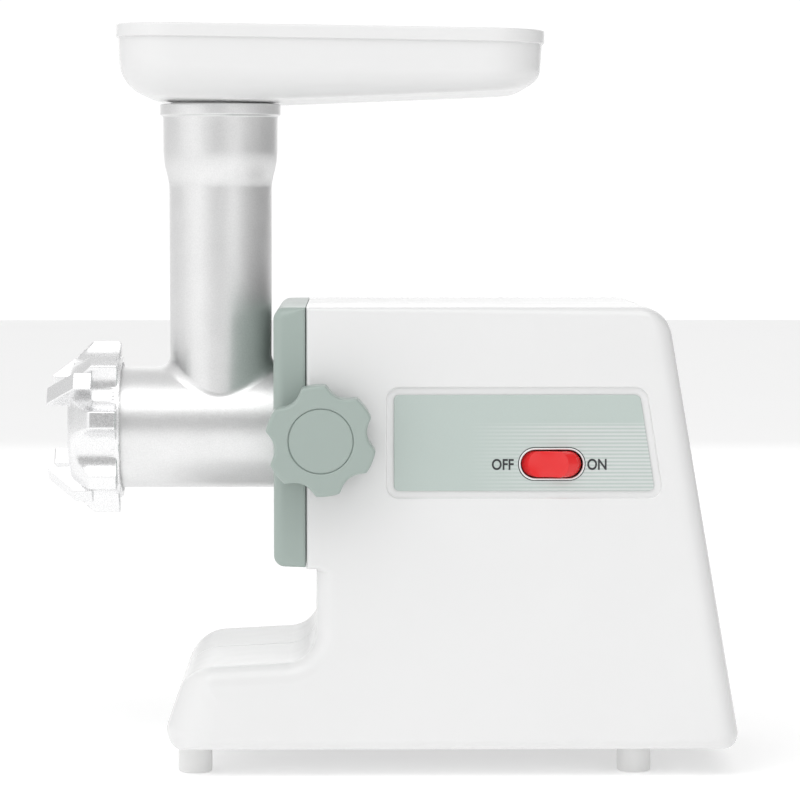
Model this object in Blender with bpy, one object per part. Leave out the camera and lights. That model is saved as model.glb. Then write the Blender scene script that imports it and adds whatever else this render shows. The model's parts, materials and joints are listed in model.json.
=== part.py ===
"""Electric meat grinder: a cast grinding head clamped into a motor housing.

The lengths below are millimetres in the machine's own layout: X runs from the nozzle end (-X) to the back
(+X), Y is zero on the middle plane, and Z is zero on the table. The helpers turn them into metres. Every
object hangs on one empty, which moves the machine so that its footprint is centred on the world origin.
"""

import math

import bmesh
import bpy
from mathutils import Matrix, Vector

MM = 0.001
GAP = 0.35  # air kept between two pieces that touch on the real machine

# ---- driving dimensions ----
AXIS_Z = 164.2  # height of the grinding axis
HALF_WIDTH = 82.0  # the housing is this wide each side of the middle plane
WALL = 2.6
TOP_Z = 226.5
BOTTOM_Z = 13.5
SEAM_X = -21.9  # where the front collar meets the casings
COLLAR_FRONT_X = -37.6
COLLAR_BOTTOM_Z = 102.0
NECK_X = -17.6  # front face of the housing under the collar
BASE_FRONT_ROUND = 22.0
BACK_ROUND = 10.0
LOW_CORNER_Z = 30.0  # the base's two round corners lie below this
TOP_BACK_X = 151.2
BOTTOM_BACK_X = 187.7
TUBE_X = -65.5  # the feed tube's vertical axis
BARREL_R = 30.25
THREAD_R = 32.0
SPIGOT_R = 25.0
BARREL_FRONT_X = -136.0
SPIGOT_END_X = -4.0
TUBE_R = 25.5
TUBE_TOP_Z = 325.1
RING_FRONT_X = -140.4
RING_BACK_X = -114.5
RING_R = 43.0
PLATE_R = 27.0
PLATE_FRONT_X = -138.0
PLATE_BACK_X = -132.5
TRAY_FLOOR_Z = 326.4  # underside of the tray where it meets the tube
TRAY_RIM_Z = 362.0
TRAY_FRONT_X = -115.0
TRAY_BACK_X = 93.0
TRAY_HALF_WIDTH = 74.0
TRAY_LEAN = math.radians(0.9)  # the tray sits a little low at the back
KNOB_X = -14.8
KNOB_FACE_Y = -107.0
KNOB_R = 26.3
FOOT_R = 8.2
FOOT_XS = (-76.3, 137.1)
FOOT_Y = 58.0
SWITCH_X = 95.5
SWITCH_Z = 151.6
ROCKER_TILT = math.radians(-12.0)  # at rest the OFF end is pressed in

# ---- gear train: two 6 to 1 stages from the motor up to the grinding axis ----
PINION_TEETH = 10
WHEEL_TEETH = 60
OUTPUT_MODULE = 1.25
MOTOR_MODULE = 0.9
PROFILE_SHIFT = 0.4  # long teeth on the pinions, short ones on the wheels
PRESSURE_ANGLE = math.radians(20.0)
BACKLASH = 0.16
IDLER_Z = AXIS_Z - OUTPUT_MODULE * (PINION_TEETH + WHEEL_TEETH) / 2
MOTOR_Z = IDLER_Z - MOTOR_MODULE * (PINION_TEETH + WHEEL_TEETH) / 2

MATERIALS = {
    # name: (colour, roughness, metallic)
    "white_plastic": ((0.86, 0.86, 0.86), 0.22, 0.0),
    "green_plastic": ((0.42, 0.49, 0.46), 0.3, 0.0),
    "plate_green": ((0.50, 0.57, 0.54), 0.35, 0.0),
    "red_plastic": ((0.80, 0.03, 0.04), 0.2, 0.0),
    "dark_plastic": ((0.05, 0.05, 0.055), 0.5, 0.0),
    "cast_aluminium": ((0.72, 0.72, 0.72), 0.38, 1.0),
    "steel": ((0.60, 0.60, 0.61), 0.3, 1.0),
    "copper": ((0.72, 0.36, 0.2), 0.35, 1.0),
    "nylon": ((0.80, 0.78, 0.70), 0.45, 0.0),
    "rubber": ((0.82, 0.82, 0.81), 0.7, 0.0),
}


# ---------------------------------------------------------------- helpers


def clear_scene():
    for obj in list(bpy.data.objects):
        bpy.data.objects.remove(obj, do_unlink=True)


def material(name):
    found = bpy.data.materials.get(name)
    if found:
        return found
    colour, roughness, metallic = MATERIALS[name]
    made = bpy.data.materials.new(name)
    made.use_nodes = True
    shader = made.node_tree.nodes["Principled BSDF"]
    shader.inputs["Base Color"].default_value = (*colour, 1.0)
    shader.inputs["Roughness"].default_value = roughness
    shader.inputs["Metallic"].default_value = metallic
    return made


def finish_mesh(bm, name, paint, at=(0, 0, 0), turn=(0, 0, 0)):
    """Makes an object of bm, whose numbers are millimetres, at a place in the machine's layout."""
    bmesh.ops.remove_doubles(bm, verts=bm.verts, dist=1e-4)
    bmesh.ops.dissolve_degenerate(bm, edges=bm.edges, dist=1e-4)
    bmesh.ops.recalc_face_normals(bm, faces=bm.faces)
    bmesh.ops.scale(bm, vec=(MM, MM, MM), verts=bm.verts)
    mesh = bpy.data.meshes.new(name)
    bm.to_mesh(mesh)
    bm.free()
    mesh.shade_smooth()
    mesh.set_sharp_from_angle(angle=math.radians(35))
    obj = bpy.data.objects.new(name, mesh)
    bpy.context.scene.collection.objects.link(obj)
    if paint:
        mesh.materials.append(material(paint))
    obj.location = Vector(at) * MM
    obj.rotation_euler = turn
    obj.parent = bpy.data.objects["grinder"]
    return obj


def turned(name, paint, profile, steps, at=(0, 0, 0), turn=(0, 0, 0)):
    """Spins (along, radius) points about local X. A profile that starts and ends on the axis is a solid
    shaft; any other is closed into a ring."""
    bm = bmesh.new()
    verts = [bm.verts.new((along, radius, 0.0)) for along, radius in profile]
    edges = [bm.edges.new(pair) for pair in zip(verts, verts[1:])]
    if profile[0][1] > 0 or profile[-1][1] > 0:
        edges.append(bm.edges.new((verts[-1], verts[0])))
    bmesh.ops.spin(
        bm, geom=verts + edges, cent=(0, 0, 0), axis=(1, 0, 0), angle=2 * math.pi,
        steps=steps, use_merge=True,
    )
    return finish_mesh(bm, name, paint, at, turn)


ALONG_Z = (0.0, -math.pi / 2, 0.0)  # turns local X upwards
ALONG_Y = (0.0, 0.0, math.pi / 2)  # turns local X towards +Y
PLANES = {
    "XZ": lambda a, b, depth: (a, depth, b),
    "YZ": lambda a, b, depth: (depth, a, b),
    "XY": lambda a, b, depth: (a, b, depth),
}


def extruded(name, paint, outline, low, high, plane, at=(0, 0, 0), turn=(0, 0, 0)):
    """A prism on an outline, from low to high across its plane."""
    to_point = PLANES[plane]
    bm = bmesh.new()
    face = bm.faces.new([bm.verts.new(to_point(a, b, low)) for a, b in outline])
    grown = bmesh.ops.extrude_face_region(bm, geom=[face])["geom"]
    tops = [v for v in grown if isinstance(v, bmesh.types.BMVert)]
    bmesh.ops.translate(bm, verts=tops, vec=Vector(to_point(0, 0, high - low)))
    return finish_mesh(bm, name, paint, at, turn)


def lofted(name, paint, rings, at=(0, 0, 0), turn=(0, 0, 0)):
    """A skin over rings of points, one after another, closed at both ends."""
    bm = bmesh.new()
    loops = []
    for ring in rings:
        verts = [bm.verts.new(point) for point in ring]
        pairs = zip(verts, verts[1:] + verts[:1])
        loops.append([bm.edges.new(pair) for pair in pairs])
        if ring is rings[0] or ring is rings[-1]:
            bm.faces.new(verts)
    for below, above in zip(loops, loops[1:]):
        bmesh.ops.bridge_loops(bm, edges=below + above)
    return finish_mesh(bm, name, paint, at, turn)


def box(name, paint, low, high):
    corners = [(low[0], low[1]), (high[0], low[1]), (high[0], high[1]), (low[0], high[1])]
    return extruded(name, paint, corners, low[2], high[2], "XY")


def with_boolean(target, operation, tools):
    """Cuts or joins the tools, which are then only helpers."""
    for tool in tools:
        modifier = target.modifiers.new(operation.lower(), "BOOLEAN")
        modifier.operation = operation
        modifier.object = tool
        tool.hide_render = True
        tool.display_type = "WIRE"
    return target


def cut(target, *tools):
    return with_boolean(target, "DIFFERENCE", tools)


def join(target, *tools):
    return with_boolean(target, "UNION", tools)


def keep_common(target, *tools):
    return with_boolean(target, "INTERSECT", tools)


def arc(centre, radius, start, end, steps):
    """Points along an arc, angles in degrees."""
    for i in range(steps + 1):
        angle = math.radians(start + (end - start) * i / steps)
        yield (centre[0] + radius * math.cos(angle), centre[1] + radius * math.sin(angle))


def rounded(corners, steps=4):
    """An outline of (a, b, radius, tag) corners with each corner rounded. Points come back as (a, b, tag)."""
    points = []
    count = len(corners)
    for i, (a, b, radius, tag) in enumerate(corners):
        here = Vector((a, b))
        before = (Vector(corners[i - 1][:2]) - here).normalized()
        after = (Vector(corners[(i + 1) % count][:2]) - here).normalized()
        if radius <= 0:
            points.append((a, b, tag))
            continue
        half = before.angle(after) / 2
        reach = radius / math.tan(half)
        centre = here + (before + after).normalized() * (radius / math.sin(half))
        first = here + before * reach - centre
        last = here + after * reach - centre
        sweep = first.angle_signed(last)
        for step in range(steps + 1):
            turned_by = Matrix.Rotation(-sweep * step / steps, 2)
            point = centre + turned_by @ first
            points.append((point.x, point.y, tag))
    return points


def plain(points):
    return [(p[0], p[1]) for p in points]


def pill(length, height, steps=8):
    """A horizontal slot outline with round ends."""
    radius = height / 2
    reach = length / 2 - radius
    return list(arc((reach, 0), radius, -90, 90, steps)) + list(arc((-reach, 0), radius, 90, 270, steps))


def shifted(outline, by_a, by_b):
    return [(a + by_a, b + by_b) for a, b in outline]


def inward_normals(points):
    """Unit normals that point into a clockwise outline."""
    normals = []
    for i, (a, b, *_rest) in enumerate(points):
        before = points[i - 1]
        after = points[(i + 1) % len(points)]
        first = Vector((a - before[0], b - before[1])).normalized()
        second = Vector((after[0] - a, after[1] - b)).normalized()
        mean = (first + second).normalized()
        stretch = 1.0 / max(0.5, first.dot(mean))
        normals.append(Vector((mean.y, -mean.x)) * stretch)
    return normals


def side_rings(points, half_width, sign, inset=0.0, steps=4, upright=None):
    """Rings of a side profile from near the middle plane out to a flat side, with rounded edges: each
    point's tag is its edge radius, and upright(x, inward) gives another one for upright edges. inset moves
    the whole skin inwards."""
    rings = []
    normals = inward_normals(points)
    for step in range(steps + 1):
        angle = math.pi / 2 * step / steps
        ring = []
        for (a, b, radius), normal in zip(points, normals):
            along = radius if upright is None else upright(a, normal.x, radius)
            share = normal.x**2 / normal.length_squared
            level = max(radius - inset, 0.05)
            edge = max(along * share + radius * (1 - share) - inset, 0.05)
            into = inset + level * (1 - math.cos(angle))
            slide = 0.0
            if upright is not None:
                whole = upright(a, -a, radius) - radius if b < LOW_CORNER_Z else (along - radius) * share
                slide = math.copysign(whole * (1 - math.cos(angle)), -a if b < LOW_CORNER_Z else normal.x)
            across = half_width - inset - edge * (1 - math.sin(angle))
            ring.append((a + normal.x * into + slide, sign * across, b + normal.y * into))
        rings.append(ring)
    return rings


# ---------------------------------------------------------------- housing


def housing_profile():
    """The casings' side outline, clockwise seen from -Y; the fourth value is the side edge's radius."""
    return rounded(
        [
            (SEAM_X, COLLAR_BOTTOM_Z - 1.0, 0.0, 2.0),
            (SEAM_X, TOP_Z, 0.0, 2.0),
            (60.0, TOP_Z, 0.0, 3.5),
            (TOP_BACK_X, TOP_Z, 16.0, 5.5),
            (BOTTOM_BACK_X, BOTTOM_Z, 7.0, 5.0),
            (-93.3, BOTTOM_Z, 8.0, 5.0),
            (-79.9, 52.7, 20.0, 9.0),
            (NECK_X, 56.0, 15.0, 9.0),
            (NECK_X + 0.4, COLLAR_BOTTOM_Z - 2.6, 0.0, 9.0),
            (NECK_X + 0.4, COLLAR_BOTTOM_Z - 1.0, 0.0, 2.0),
        ]
    )


def upright_radius(x, inward_x, level_radius):
    """The housing's upright edges are rounder than its level ones: most of all at the front of the base."""
    if inward_x > 0 and x < -50.0:
        return BASE_FRONT_ROUND
    if inward_x < 0:
        return BACK_ROUND
    return level_radius


def casing(name, sign):
    """One half of the housing: a moulded shell that ends at the middle plane."""
    profile = housing_profile()
    outer = side_rings(profile, HALF_WIDTH, sign, upright=upright_radius)
    seam = [(a, sign * GAP / 2, b) for a, b, _tag in profile]
    shell = lofted(name, "white_plastic", [seam, *outer])
    inner = side_rings(profile, HALF_WIDTH, sign, inset=WALL, upright=upright_radius)
    past_seam = [(x, -sign * 5.0, z) for x, _y, z in inner[0]]
    hollow = lofted(name + "_hollow", None, [past_seam, *inner])
    cut(shell, hollow)
    add_casing_bosses(shell, name, sign)
    cut(
        shell,
        box(name + "_base_opening", None, (-84.0, -72.0, 8.0), (178.0, 72.0, BOTTOM_Z + WALL + 1.0)),
        turned(
            name + "_socket_opening", None, [(-30, 0), (-30, 46), (-15, 46), (-15, 0)], 24,
            at=(0, 0, AXIS_Z),
        ),
        vent_panel(name + "_vent_opening", None, GAP, -1.0, 6.0),
    )
    return shell


BOSS_PLACES = ((68.0, 208.0), (134.0, 208.0), (-52.0, 32.0), (160.0, 33.0))
BOSS_R = 5.5
SCREW_HEAD_Y = 16.0


def add_casing_bosses(shell, name, sign):
    """Posts that carry the four long casing screws, with a deep counterbore on the plain side."""
    for i, (x, z) in enumerate(BOSS_PLACES):
        reach = [(sign * GAP / 2, 0), (sign * GAP / 2, BOSS_R), (sign * (HALF_WIDTH - 1), BOSS_R),
                 (sign * (HALF_WIDTH - 1), 0)]
        join(shell, turned(f"{name}_boss_{i}", None, reach, 12, at=(x, 0, z), turn=ALONG_Y))
        if sign > 0:
            bore = [(-1, 0), (-1, 1.9), (SCREW_HEAD_Y - 3.4, 1.9), (SCREW_HEAD_Y - 3.4, 4.0),
                    (HALF_WIDTH + 2, 4.0), (HALF_WIDTH + 2, 0)]
        else:
            bore = [(-16.0, 0), (-16.0, 1.9), (1.0, 1.9), (1.0, 0)]
        cut(shell, turned(f"{name}_boss_bore_{i}", None, bore, 10, at=(x, 0, z), turn=ALONG_Y))


PLATE_CORNERS = (
    (20.0, 138.7, 2.5, 0), (20.0, 184.7, 2.5, 0), (137.7, 184.7, 3.0, 0), (144.9, 138.7, 2.5, 0),
)
RECESS_EDGE = 3.6
RECESS_DEPTH = 1.3
SWITCH_HOLE = (32.4, 16.2)


def nameplate_recess():
    """The nameplate's outline, moved out all round."""
    points = rounded(list(PLATE_CORNERS))
    normals = inward_normals(points)
    return [(a - n.x * RECESS_EDGE, b - n.y * RECESS_EDGE) for (a, b, _t), n in zip(points, normals)]


def switch_side_casing():
    shell = casing("switch_side_casing", -1)
    floor_y = -(HALF_WIDTH - RECESS_DEPTH)
    backing = extruded("plate_backing", None, nameplate_recess(), floor_y, -76.5, "XZ")
    join(shell, backing)
    cut(
        shell,
        extruded("plate_recess", None, nameplate_recess(), -HALF_WIDTH - 2, floor_y, "XZ"),
        extruded(
            "switch_hole", None, shifted(pill(*SWITCH_HOLE), SWITCH_X, SWITCH_Z),
            -HALF_WIDTH - 3, -70.0, "XZ",
        ),
        turned(
            "knob_hole", None, [(-HALF_WIDTH - 2, 0), (-HALF_WIDTH - 2, 6.5), (-74, 6.5), (-74, 0)], 16,
            at=(KNOB_X, 0, AXIS_Z), turn=ALONG_Y,
        ),
    )


def plain_side_casing():
    shell = casing("plain_side_casing", 1)
    cut(shell, gland_hole())


def front_collar():
    """The green frame round the head's socket, flush with the casings."""
    profile = rounded(
        [
            (COLLAR_FRONT_X, COLLAR_BOTTOM_Z, 5.0, 5.0),
            (COLLAR_FRONT_X, TOP_Z, 6.0, 5.0),
            (SEAM_X - GAP, TOP_Z, 0.0, 1.5),
            (SEAM_X - GAP, COLLAR_BOTTOM_Z, 0.0, 1.5),
        ]
    )
    right = side_rings(profile, HALF_WIDTH, -1)
    left = side_rings(profile, HALF_WIDTH, 1)
    collar = lofted("front_collar", "green_plastic", right[::-1] + left)
    cut(
        collar,
        turned(
            "collar_bore", None, [(-50, 0), (-50, 29.8), (-10, 29.8), (-10, 0)], 32, at=(0, 0, AXIS_Z)
        ),
    )


def base_plate():
    plate = box(
        "base_plate", "white_plastic", (-83.6, -71.6, BOTTOM_Z), (177.6, 71.6, BOTTOM_Z + WALL)
    )
    for i, x in enumerate(FOOT_XS):
        for j, y in enumerate((-FOOT_Y, FOOT_Y)):
            bore = [(BOTTOM_Z - 2, 0), (BOTTOM_Z - 2, 2.0), (BOTTOM_Z + 5, 2.0), (BOTTOM_Z + 5, 0)]
            cut(plate, turned(f"base_bore_{i}{j}", None, bore, 10, at=(x, y, 0), turn=ALONG_Z))


def feet():
    """Four round feet, each hollow for the screw that holds it to the base plate."""
    for x, end in zip(FOOT_XS, ("front", "back")):
        for y, side in ((-FOOT_Y, "right"), (FOOT_Y, "left")):
            top = BOTTOM_Z - GAP
            profile = [(0.0, 3.9), (0.0, FOOT_R - 1.2), (0.35, FOOT_R - 0.35), (1.2, FOOT_R), (top, FOOT_R),
                       (top, 2.0), (6.0, 2.0), (6.0, 3.9)]
            turned(f"{end}_{side}_foot", "rubber", profile, 20, at=(x, y, 0), turn=ALONG_Z)
            screw = [(3.2, 0), (3.2, 3.2), (5.6, 3.2), (5.6, 1.6), (20.0, 1.6), (20.0, 0)]
            turned(f"{end}_{side}_foot_screw", "steel", screw, 8, at=(x, y, 0), turn=ALONG_Z)


def casing_screws():
    for i, (x, z) in enumerate(BOSS_PLACES):
        profile = [(-14.0, 0), (-14.0, 1.5), (SCREW_HEAD_Y - 3.0, 1.5), (SCREW_HEAD_Y - 3.0, 3.4),
                   (SCREW_HEAD_Y, 3.4), (SCREW_HEAD_Y, 0)]
        turned(f"casing_screw_{i + 1}", "steel", profile, 8, at=(x, 0, z), turn=ALONG_Y)


# ---------------------------------------------------------------- back of the housing

BACK_LEAN = math.atan((BOTTOM_BACK_X - TOP_BACK_X) / (TOP_Z - BOTTOM_Z))
VENT_Z = 170.8
VENT_HALF_HEIGHT = 20.6
VENT_HALF_WIDTH = 36.0
VENT_PROUD = 0.8


def back_x(z):
    return TOP_BACK_X + (TOP_Z - z) * math.tan(BACK_LEAN)


def vent_panel(name, paint, grow, outside, inside):
    """A panel on the sloping back; its local X points out of the back."""
    width = VENT_HALF_WIDTH + grow
    height = VENT_HALF_HEIGHT + grow
    outline = plain(rounded([(-width, -height, 3, 0), (-width, height, 3, 0), (width, height, 3, 0),
                             (width, -height, 3, 0)], 3))
    return extruded(
        name, paint, outline, -inside, -outside, "YZ", at=(back_x(VENT_Z), 0, VENT_Z),
        turn=(0, -BACK_LEAN, 0),
    )


def rear_vent_grille():
    """A slotted panel that lets the fan's air out; it stands slightly proud of the casings."""
    grille = vent_panel("rear_vent_grille", "white_plastic", 0.0, -VENT_PROUD, WALL)
    for row in range(5):
        height = -13.6 + 6.8 * row
        for side in (-1, 1):
            slot = shifted(pill(30.0, 3.0, 3), side * 17.0, height)
            cut(
                grille,
                extruded(
                    f"vent_slot_{row}_{side}", None, slot, -8, 4, "YZ",
                    at=(back_x(VENT_Z), 0, VENT_Z), turn=(0, -BACK_LEAN, 0),
                ),
            )


GLAND_Y = 38.0
GLAND_Z = 36.0


def gland_hole():
    return turned(
        "gland_hole", None, [(-8, 0), (-8, 7.4), (6, 7.4), (6, 0)], 16,
        at=(back_x(GLAND_Z), GLAND_Y, GLAND_Z), turn=(0, -BACK_LEAN, 0),
    )


def cord_gland():
    """A grommet in the back wall, open in the middle for the mains cord."""
    profile = [(-7.0, 3.7), (-7.0, 7.0), (0.5, 7.0), (0.5, 9.0), (1.4, 8.6), (1.7, 6.0), (1.7, 3.7)]
    turned(
        "cord_gland", "white_plastic", profile, 16,
        at=(back_x(GLAND_Z), GLAND_Y, GLAND_Z), turn=(0, -BACK_LEAN, 0),
    )


# ---------------------------------------------------------------- nameplate and switch

PIVOT_Y = -77.0
ROCKER_HALF_LENGTH = 13.6
ROCKER_HALF_HEIGHT = 6.2
ROCKER_FACE = 8.2  # from the pivot to the ends of the face
ROCKER_DIP = 1.1


def nameplate():
    floor_y = -(HALF_WIDTH - RECESS_DEPTH)
    plate = extruded(
        "nameplate", "plate_green", plain(rounded(list(PLATE_CORNERS))), floor_y - GAP - 0.7, floor_y - GAP,
        "XZ",
    )
    cut(
        plate,
        extruded("plate_switch_hole", None, shifted(pill(*SWITCH_HOLE), SWITCH_X, SWITCH_Z), -90, -70, "XZ"),
    )


def switch():
    """A rocker that tips about a vertical pin, in a boxed body behind the nameplate."""
    bezel = extruded(
        "switch_bezel", "white_plastic", shifted(pill(31.6, 15.4), SWITCH_X, SWITCH_Z), -82.4, -76.0, "XZ"
    )
    opening = shifted(pill(29.8, 13.4), SWITCH_X, SWITCH_Z)
    cut(bezel, extruded("bezel_opening", None, opening, -90, -60, "XZ"))
    housing = box(
        "switch_body", "dark_plastic", (SWITCH_X - 19, -75.6, SWITCH_Z - 10.5),
        (SWITCH_X + 19, -50.0, SWITCH_Z + 10.5),
    )
    cut(
        housing,
        box("switch_well", None, (SWITCH_X - 16.5, -80, SWITCH_Z - 8.0), (SWITCH_X + 16.5, -57.0, SWITCH_Z + 8.0)),
    )
    rocker()


def rocker():
    """A dished face on a round-ended skirt. The skirt's ends are arcs about the pin, so that the rocker
    keeps its clearance as it tips."""
    rings = []
    levels = 8
    panel = HALF_WIDTH + PIVOT_Y
    for i in range(levels + 1):
        height = -ROCKER_HALF_HEIGHT * math.cos(math.pi * i / levels)
        bulge = math.sqrt(max(1.0 - (height / ROCKER_HALF_HEIGHT) ** 2, 0.0))
        reach = ROCKER_HALF_LENGTH - ROCKER_HALF_HEIGHT * (1.0 - bulge)
        face = 5.0 + 4.6 * bulge
        radius = math.hypot(reach, panel)
        edge = math.degrees(math.asin(panel / radius))
        ring = [(face, -ROCKER_FACE), (0.0, ROCKER_DIP - ROCKER_FACE), (-face, -ROCKER_FACE)]
        ring += list(arc((0, 0), radius, 180 + edge, 180, 2))
        ring += [(-radius * 0.85, 4.0), (0.0, 7.0), (radius * 0.85, 4.0)]
        ring += list(arc((0, 0), radius, 0, -edge, 2))
        rings.append([(x, y, height) for x, y in ring])
    lofted(
        "switch_rocker", "red_plastic", rings, at=(SWITCH_X, PIVOT_Y, SWITCH_Z), turn=(0, 0, ROCKER_TILT)
    )


# ---------------------------------------------------------------- clamp knob

STEM_R = 4.0
SOCKET_R = 29.3
SOCKET_BORE_R = 25.4
KEYWAY_DEPTH = 3.2


def knob_outline():
    """Six lobes with round hollows between them."""
    lobes = 6
    hollow_r = 9.8
    hollow_centre = 31.9
    half_lobe = 13.0
    first_lobe = 97.5
    points = []
    for i in range(lobes):
        middle = first_lobe + 60 * i
        points += list(arc((0, 0), KNOB_R, middle - half_lobe, middle + half_lobe, 3))
        away = math.radians(middle + 30)
        centre = (hollow_centre * math.cos(away), hollow_centre * math.sin(away))
        points += list(arc(centre, hollow_r, middle + 30 + 180 + 44, middle + 30 + 180 - 44, 4))
    return points


def clamp_knob():
    """The knob, its cap and its screw turn together; the pad at the screw's tip only slides."""
    back_y = KNOB_FACE_Y + 19.0
    knob = extruded(
        "clamp_knob", "green_plastic", knob_outline(), KNOB_FACE_Y, back_y, "XZ", at=(KNOB_X, 0, AXIS_Z)
    )
    bevel = knob.modifiers.new("edges", "BEVEL")
    bevel.width = 1.2 * MM
    bevel.segments = 2
    bevel.limit_method = "ANGLE"
    bevel.angle_limit = math.radians(50)
    neck = [(KNOB_FACE_Y + 8, 0), (KNOB_FACE_Y + 8, 11.0), (-HALF_WIDTH - 0.8, 11.0), (-HALF_WIDTH - 0.8, 0)]
    cap_seat = [(KNOB_FACE_Y - 2, 0), (KNOB_FACE_Y - 2, 15.4), (KNOB_FACE_Y + 2.4, 15.4),
                (KNOB_FACE_Y + 2.4, 0)]
    stem_seat = [(-97.0, 0), (-97.0, STEM_R + GAP), (-80.0, STEM_R + GAP), (-80.0, 0)]
    here = {"at": (KNOB_X, 0, AXIS_Z), "turn": ALONG_Y}
    join(knob, turned("knob_neck", None, neck, 20, **here))
    cut(knob, turned("knob_cap_seat", None, cap_seat, 32, **here))
    cut(knob, turned("knob_stem_seat", None, stem_seat, 12, **here))
    cap = [(KNOB_FACE_Y + 0.5, 0), (KNOB_FACE_Y + 0.5, 14.4), (KNOB_FACE_Y + 1.0, 15.0),
           (KNOB_FACE_Y + 2.05, 15.0), (KNOB_FACE_Y + 2.05, 0)]
    turned("knob_cap", "green_plastic", cap, 32, **here)
    stem = [(-96.5, 0), (-96.5, STEM_R), (-27.6, STEM_R), (-27.6, 0)]
    turned("clamp_screw", "steel", stem, 12, **here)
    pad = [(-27.2, 0), (-27.2, 3.6), (-SPIGOT_R + KEYWAY_DEPTH - 0.4, 3.6), (-SPIGOT_R + KEYWAY_DEPTH - 0.4, 0)]
    turned("clamp_pad", "steel", pad, 12, **here)


def head_socket():
    """The metal sleeve that the head's spigot slides into, bolted to the gearbox."""
    profile = [(COLLAR_FRONT_X + 0.4, SOCKET_BORE_R), (COLLAR_FRONT_X + 0.4, SOCKET_R), (-0.5, SOCKET_R),
               (-0.5, 36.0), (4.0, 36.0), (4.0, SOCKET_BORE_R)]
    socket = turned("head_socket", "cast_aluminium", profile, 32, at=(0, 0, AXIS_Z))
    cross = [(-40, 0), (-40, STEM_R + GAP), (-20, STEM_R + GAP), (-20, 0)]
    cut(socket, turned("socket_cross_bore", None, cross, 12, at=(KNOB_X, 0, AXIS_Z), turn=ALONG_Y))


# ---------------------------------------------------------------- grinding head

FEED_BORE_R = 22.5
AUGER_BORE_R = 25.2
BUSH_SEAT_R = 13.0


def head_casting():
    """Barrel, feed tube and spigot in one casting."""
    barrel = [
        (BARREL_FRONT_X, 0), (BARREL_FRONT_X, THREAD_R - 0.8), (BARREL_FRONT_X + 0.8, THREAD_R),
        (-117.0, THREAD_R), (-115.5, BARREL_R), (COLLAR_FRONT_X - 0.4, BARREL_R),
        (COLLAR_FRONT_X - 0.4, SPIGOT_R), (SPIGOT_END_X, SPIGOT_R), (SPIGOT_END_X, 0),
    ]
    head = turned("head_casting", "cast_aluminium", barrel, 40, at=(0, 0, AXIS_Z))
    tube = [
        (AXIS_Z + 5, 0), (AXIS_Z + 5, TUBE_R - 0.3), (284.5, TUBE_R), (288.5, 26.0), (296.5, 27.9),
        (301.0, 28.4), (319.0, 28.6), (319.6, 29.8), (320.2, 30.0), (324.6, 30.0), (TUBE_TOP_Z, 29.5),
        (TUBE_TOP_Z, 0),
    ]
    join(head, turned("feed_tube", None, tube, 36, at=(TUBE_X, 0, 0), turn=ALONG_Z))
    bore = [
        (-150, 0), (-150, PLATE_R + GAP), (-124.0, PLATE_R + GAP), (-124.0, AUGER_BORE_R), (-42.0, AUGER_BORE_R),
        (-42.0, BUSH_SEAT_R), (-30.0, BUSH_SEAT_R), (-30.0, 17.0), (10, 17.0), (10, 0),
    ]
    feed = [(AXIS_Z, 0), (AXIS_Z, FEED_BORE_R), (290.0, FEED_BORE_R), (298.0, 25.4), (340, 25.4), (340, 0)]
    keyway = box(
        "spigot_keyway", None, (KNOB_X - 5.2, -30, AXIS_Z - 4.2), (10, -SPIGOT_R + KEYWAY_DEPTH, AXIS_Z + 4.2)
    )
    cut(
        head,
        turned("barrel_bore", None, bore, 32, at=(0, 0, AXIS_Z)),
        turned("feed_bore", None, feed, 28, at=(TUBE_X, 0, 0), turn=ALONG_Z),
        keyway,
        turned(
            "key_pin_bore", None, [(PLATE_R - 2.6, 0), (PLATE_R - 2.6, 1.5), (31.2, 1.5), (31.2, 0)], 8,
            at=((BARREL_FRONT_X + PLATE_BACK_X) / 2, 0, AXIS_Z), turn=ALONG_Z,
        ),
    )
    pin = [(PLATE_R - 2.0, 0), (PLATE_R - 2.0, 1.2), (31.0, 1.2), (31.0, 0)]
    turned(
        "plate_key_pin", "steel", pin, 8,
        at=((BARREL_FRONT_X + PLATE_BACK_X) / 2, 0, AXIS_Z), turn=ALONG_Z,
    )


def grinding_plate():
    """A perforated disc with a notch for the key pin and a hole for the auger's nose."""
    disc = [(PLATE_FRONT_X, 0), (PLATE_FRONT_X, PLATE_R), (PLATE_BACK_X, PLATE_R), (PLATE_BACK_X, 0)]
    plate = turned("grinding_plate", "steel", disc, 36, at=(0, 0, AXIS_Z))
    tools = []
    for ring_r, count in ((9.0, 6), (14.6, 12), (20.2, 18)):
        for i in range(count):
            angle = 2 * math.pi * i / count
            hole = [(-150, 0), (-150, 2.3), (-120, 2.3), (-120, 0)]
            where = (0, ring_r * math.cos(angle), AXIS_Z + ring_r * math.sin(angle))
            tools.append(turned(f"plate_hole_{count}_{i}", None, hole, 8, at=where))
    nose = [(-150, 0), (-150, 4.4), (-120, 4.4), (-120, 0)]
    tools.append(turned("plate_nose_hole", None, nose, 12, at=(0, 0, AXIS_Z)))
    tools.append(
        box("plate_notch", None, (-150, -1.7, AXIS_Z + PLATE_R - 2.6), (-120, 1.7, AXIS_Z + PLATE_R + 3))
    )
    cut(plate, *tools)


def cutting_blade():
    """Four arms on a square hub, just behind the plate."""
    arm_r = 25.0
    points = []
    for i in range(4):
        angle = math.radians(90 * i)
        for along, across in ((8.0, -8.0), (13.0, -4.2), (arm_r, -3.2), (arm_r - 1.0, 4.8), (12.0, 5.2)):
            points.append(
                (along * math.cos(angle) - across * math.sin(angle),
                 along * math.sin(angle) + across * math.cos(angle))
            )
    blade = extruded("cutting_blade", "steel", points, -132.1, -126.1, "YZ", at=(0, 0, AXIS_Z))
    half = 5.0 + GAP
    cut(blade, box("blade_square", None, (-140, -half, AXIS_Z - half), (-120, half, AXIS_Z + half)))


HEX_R = 6.35


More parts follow.
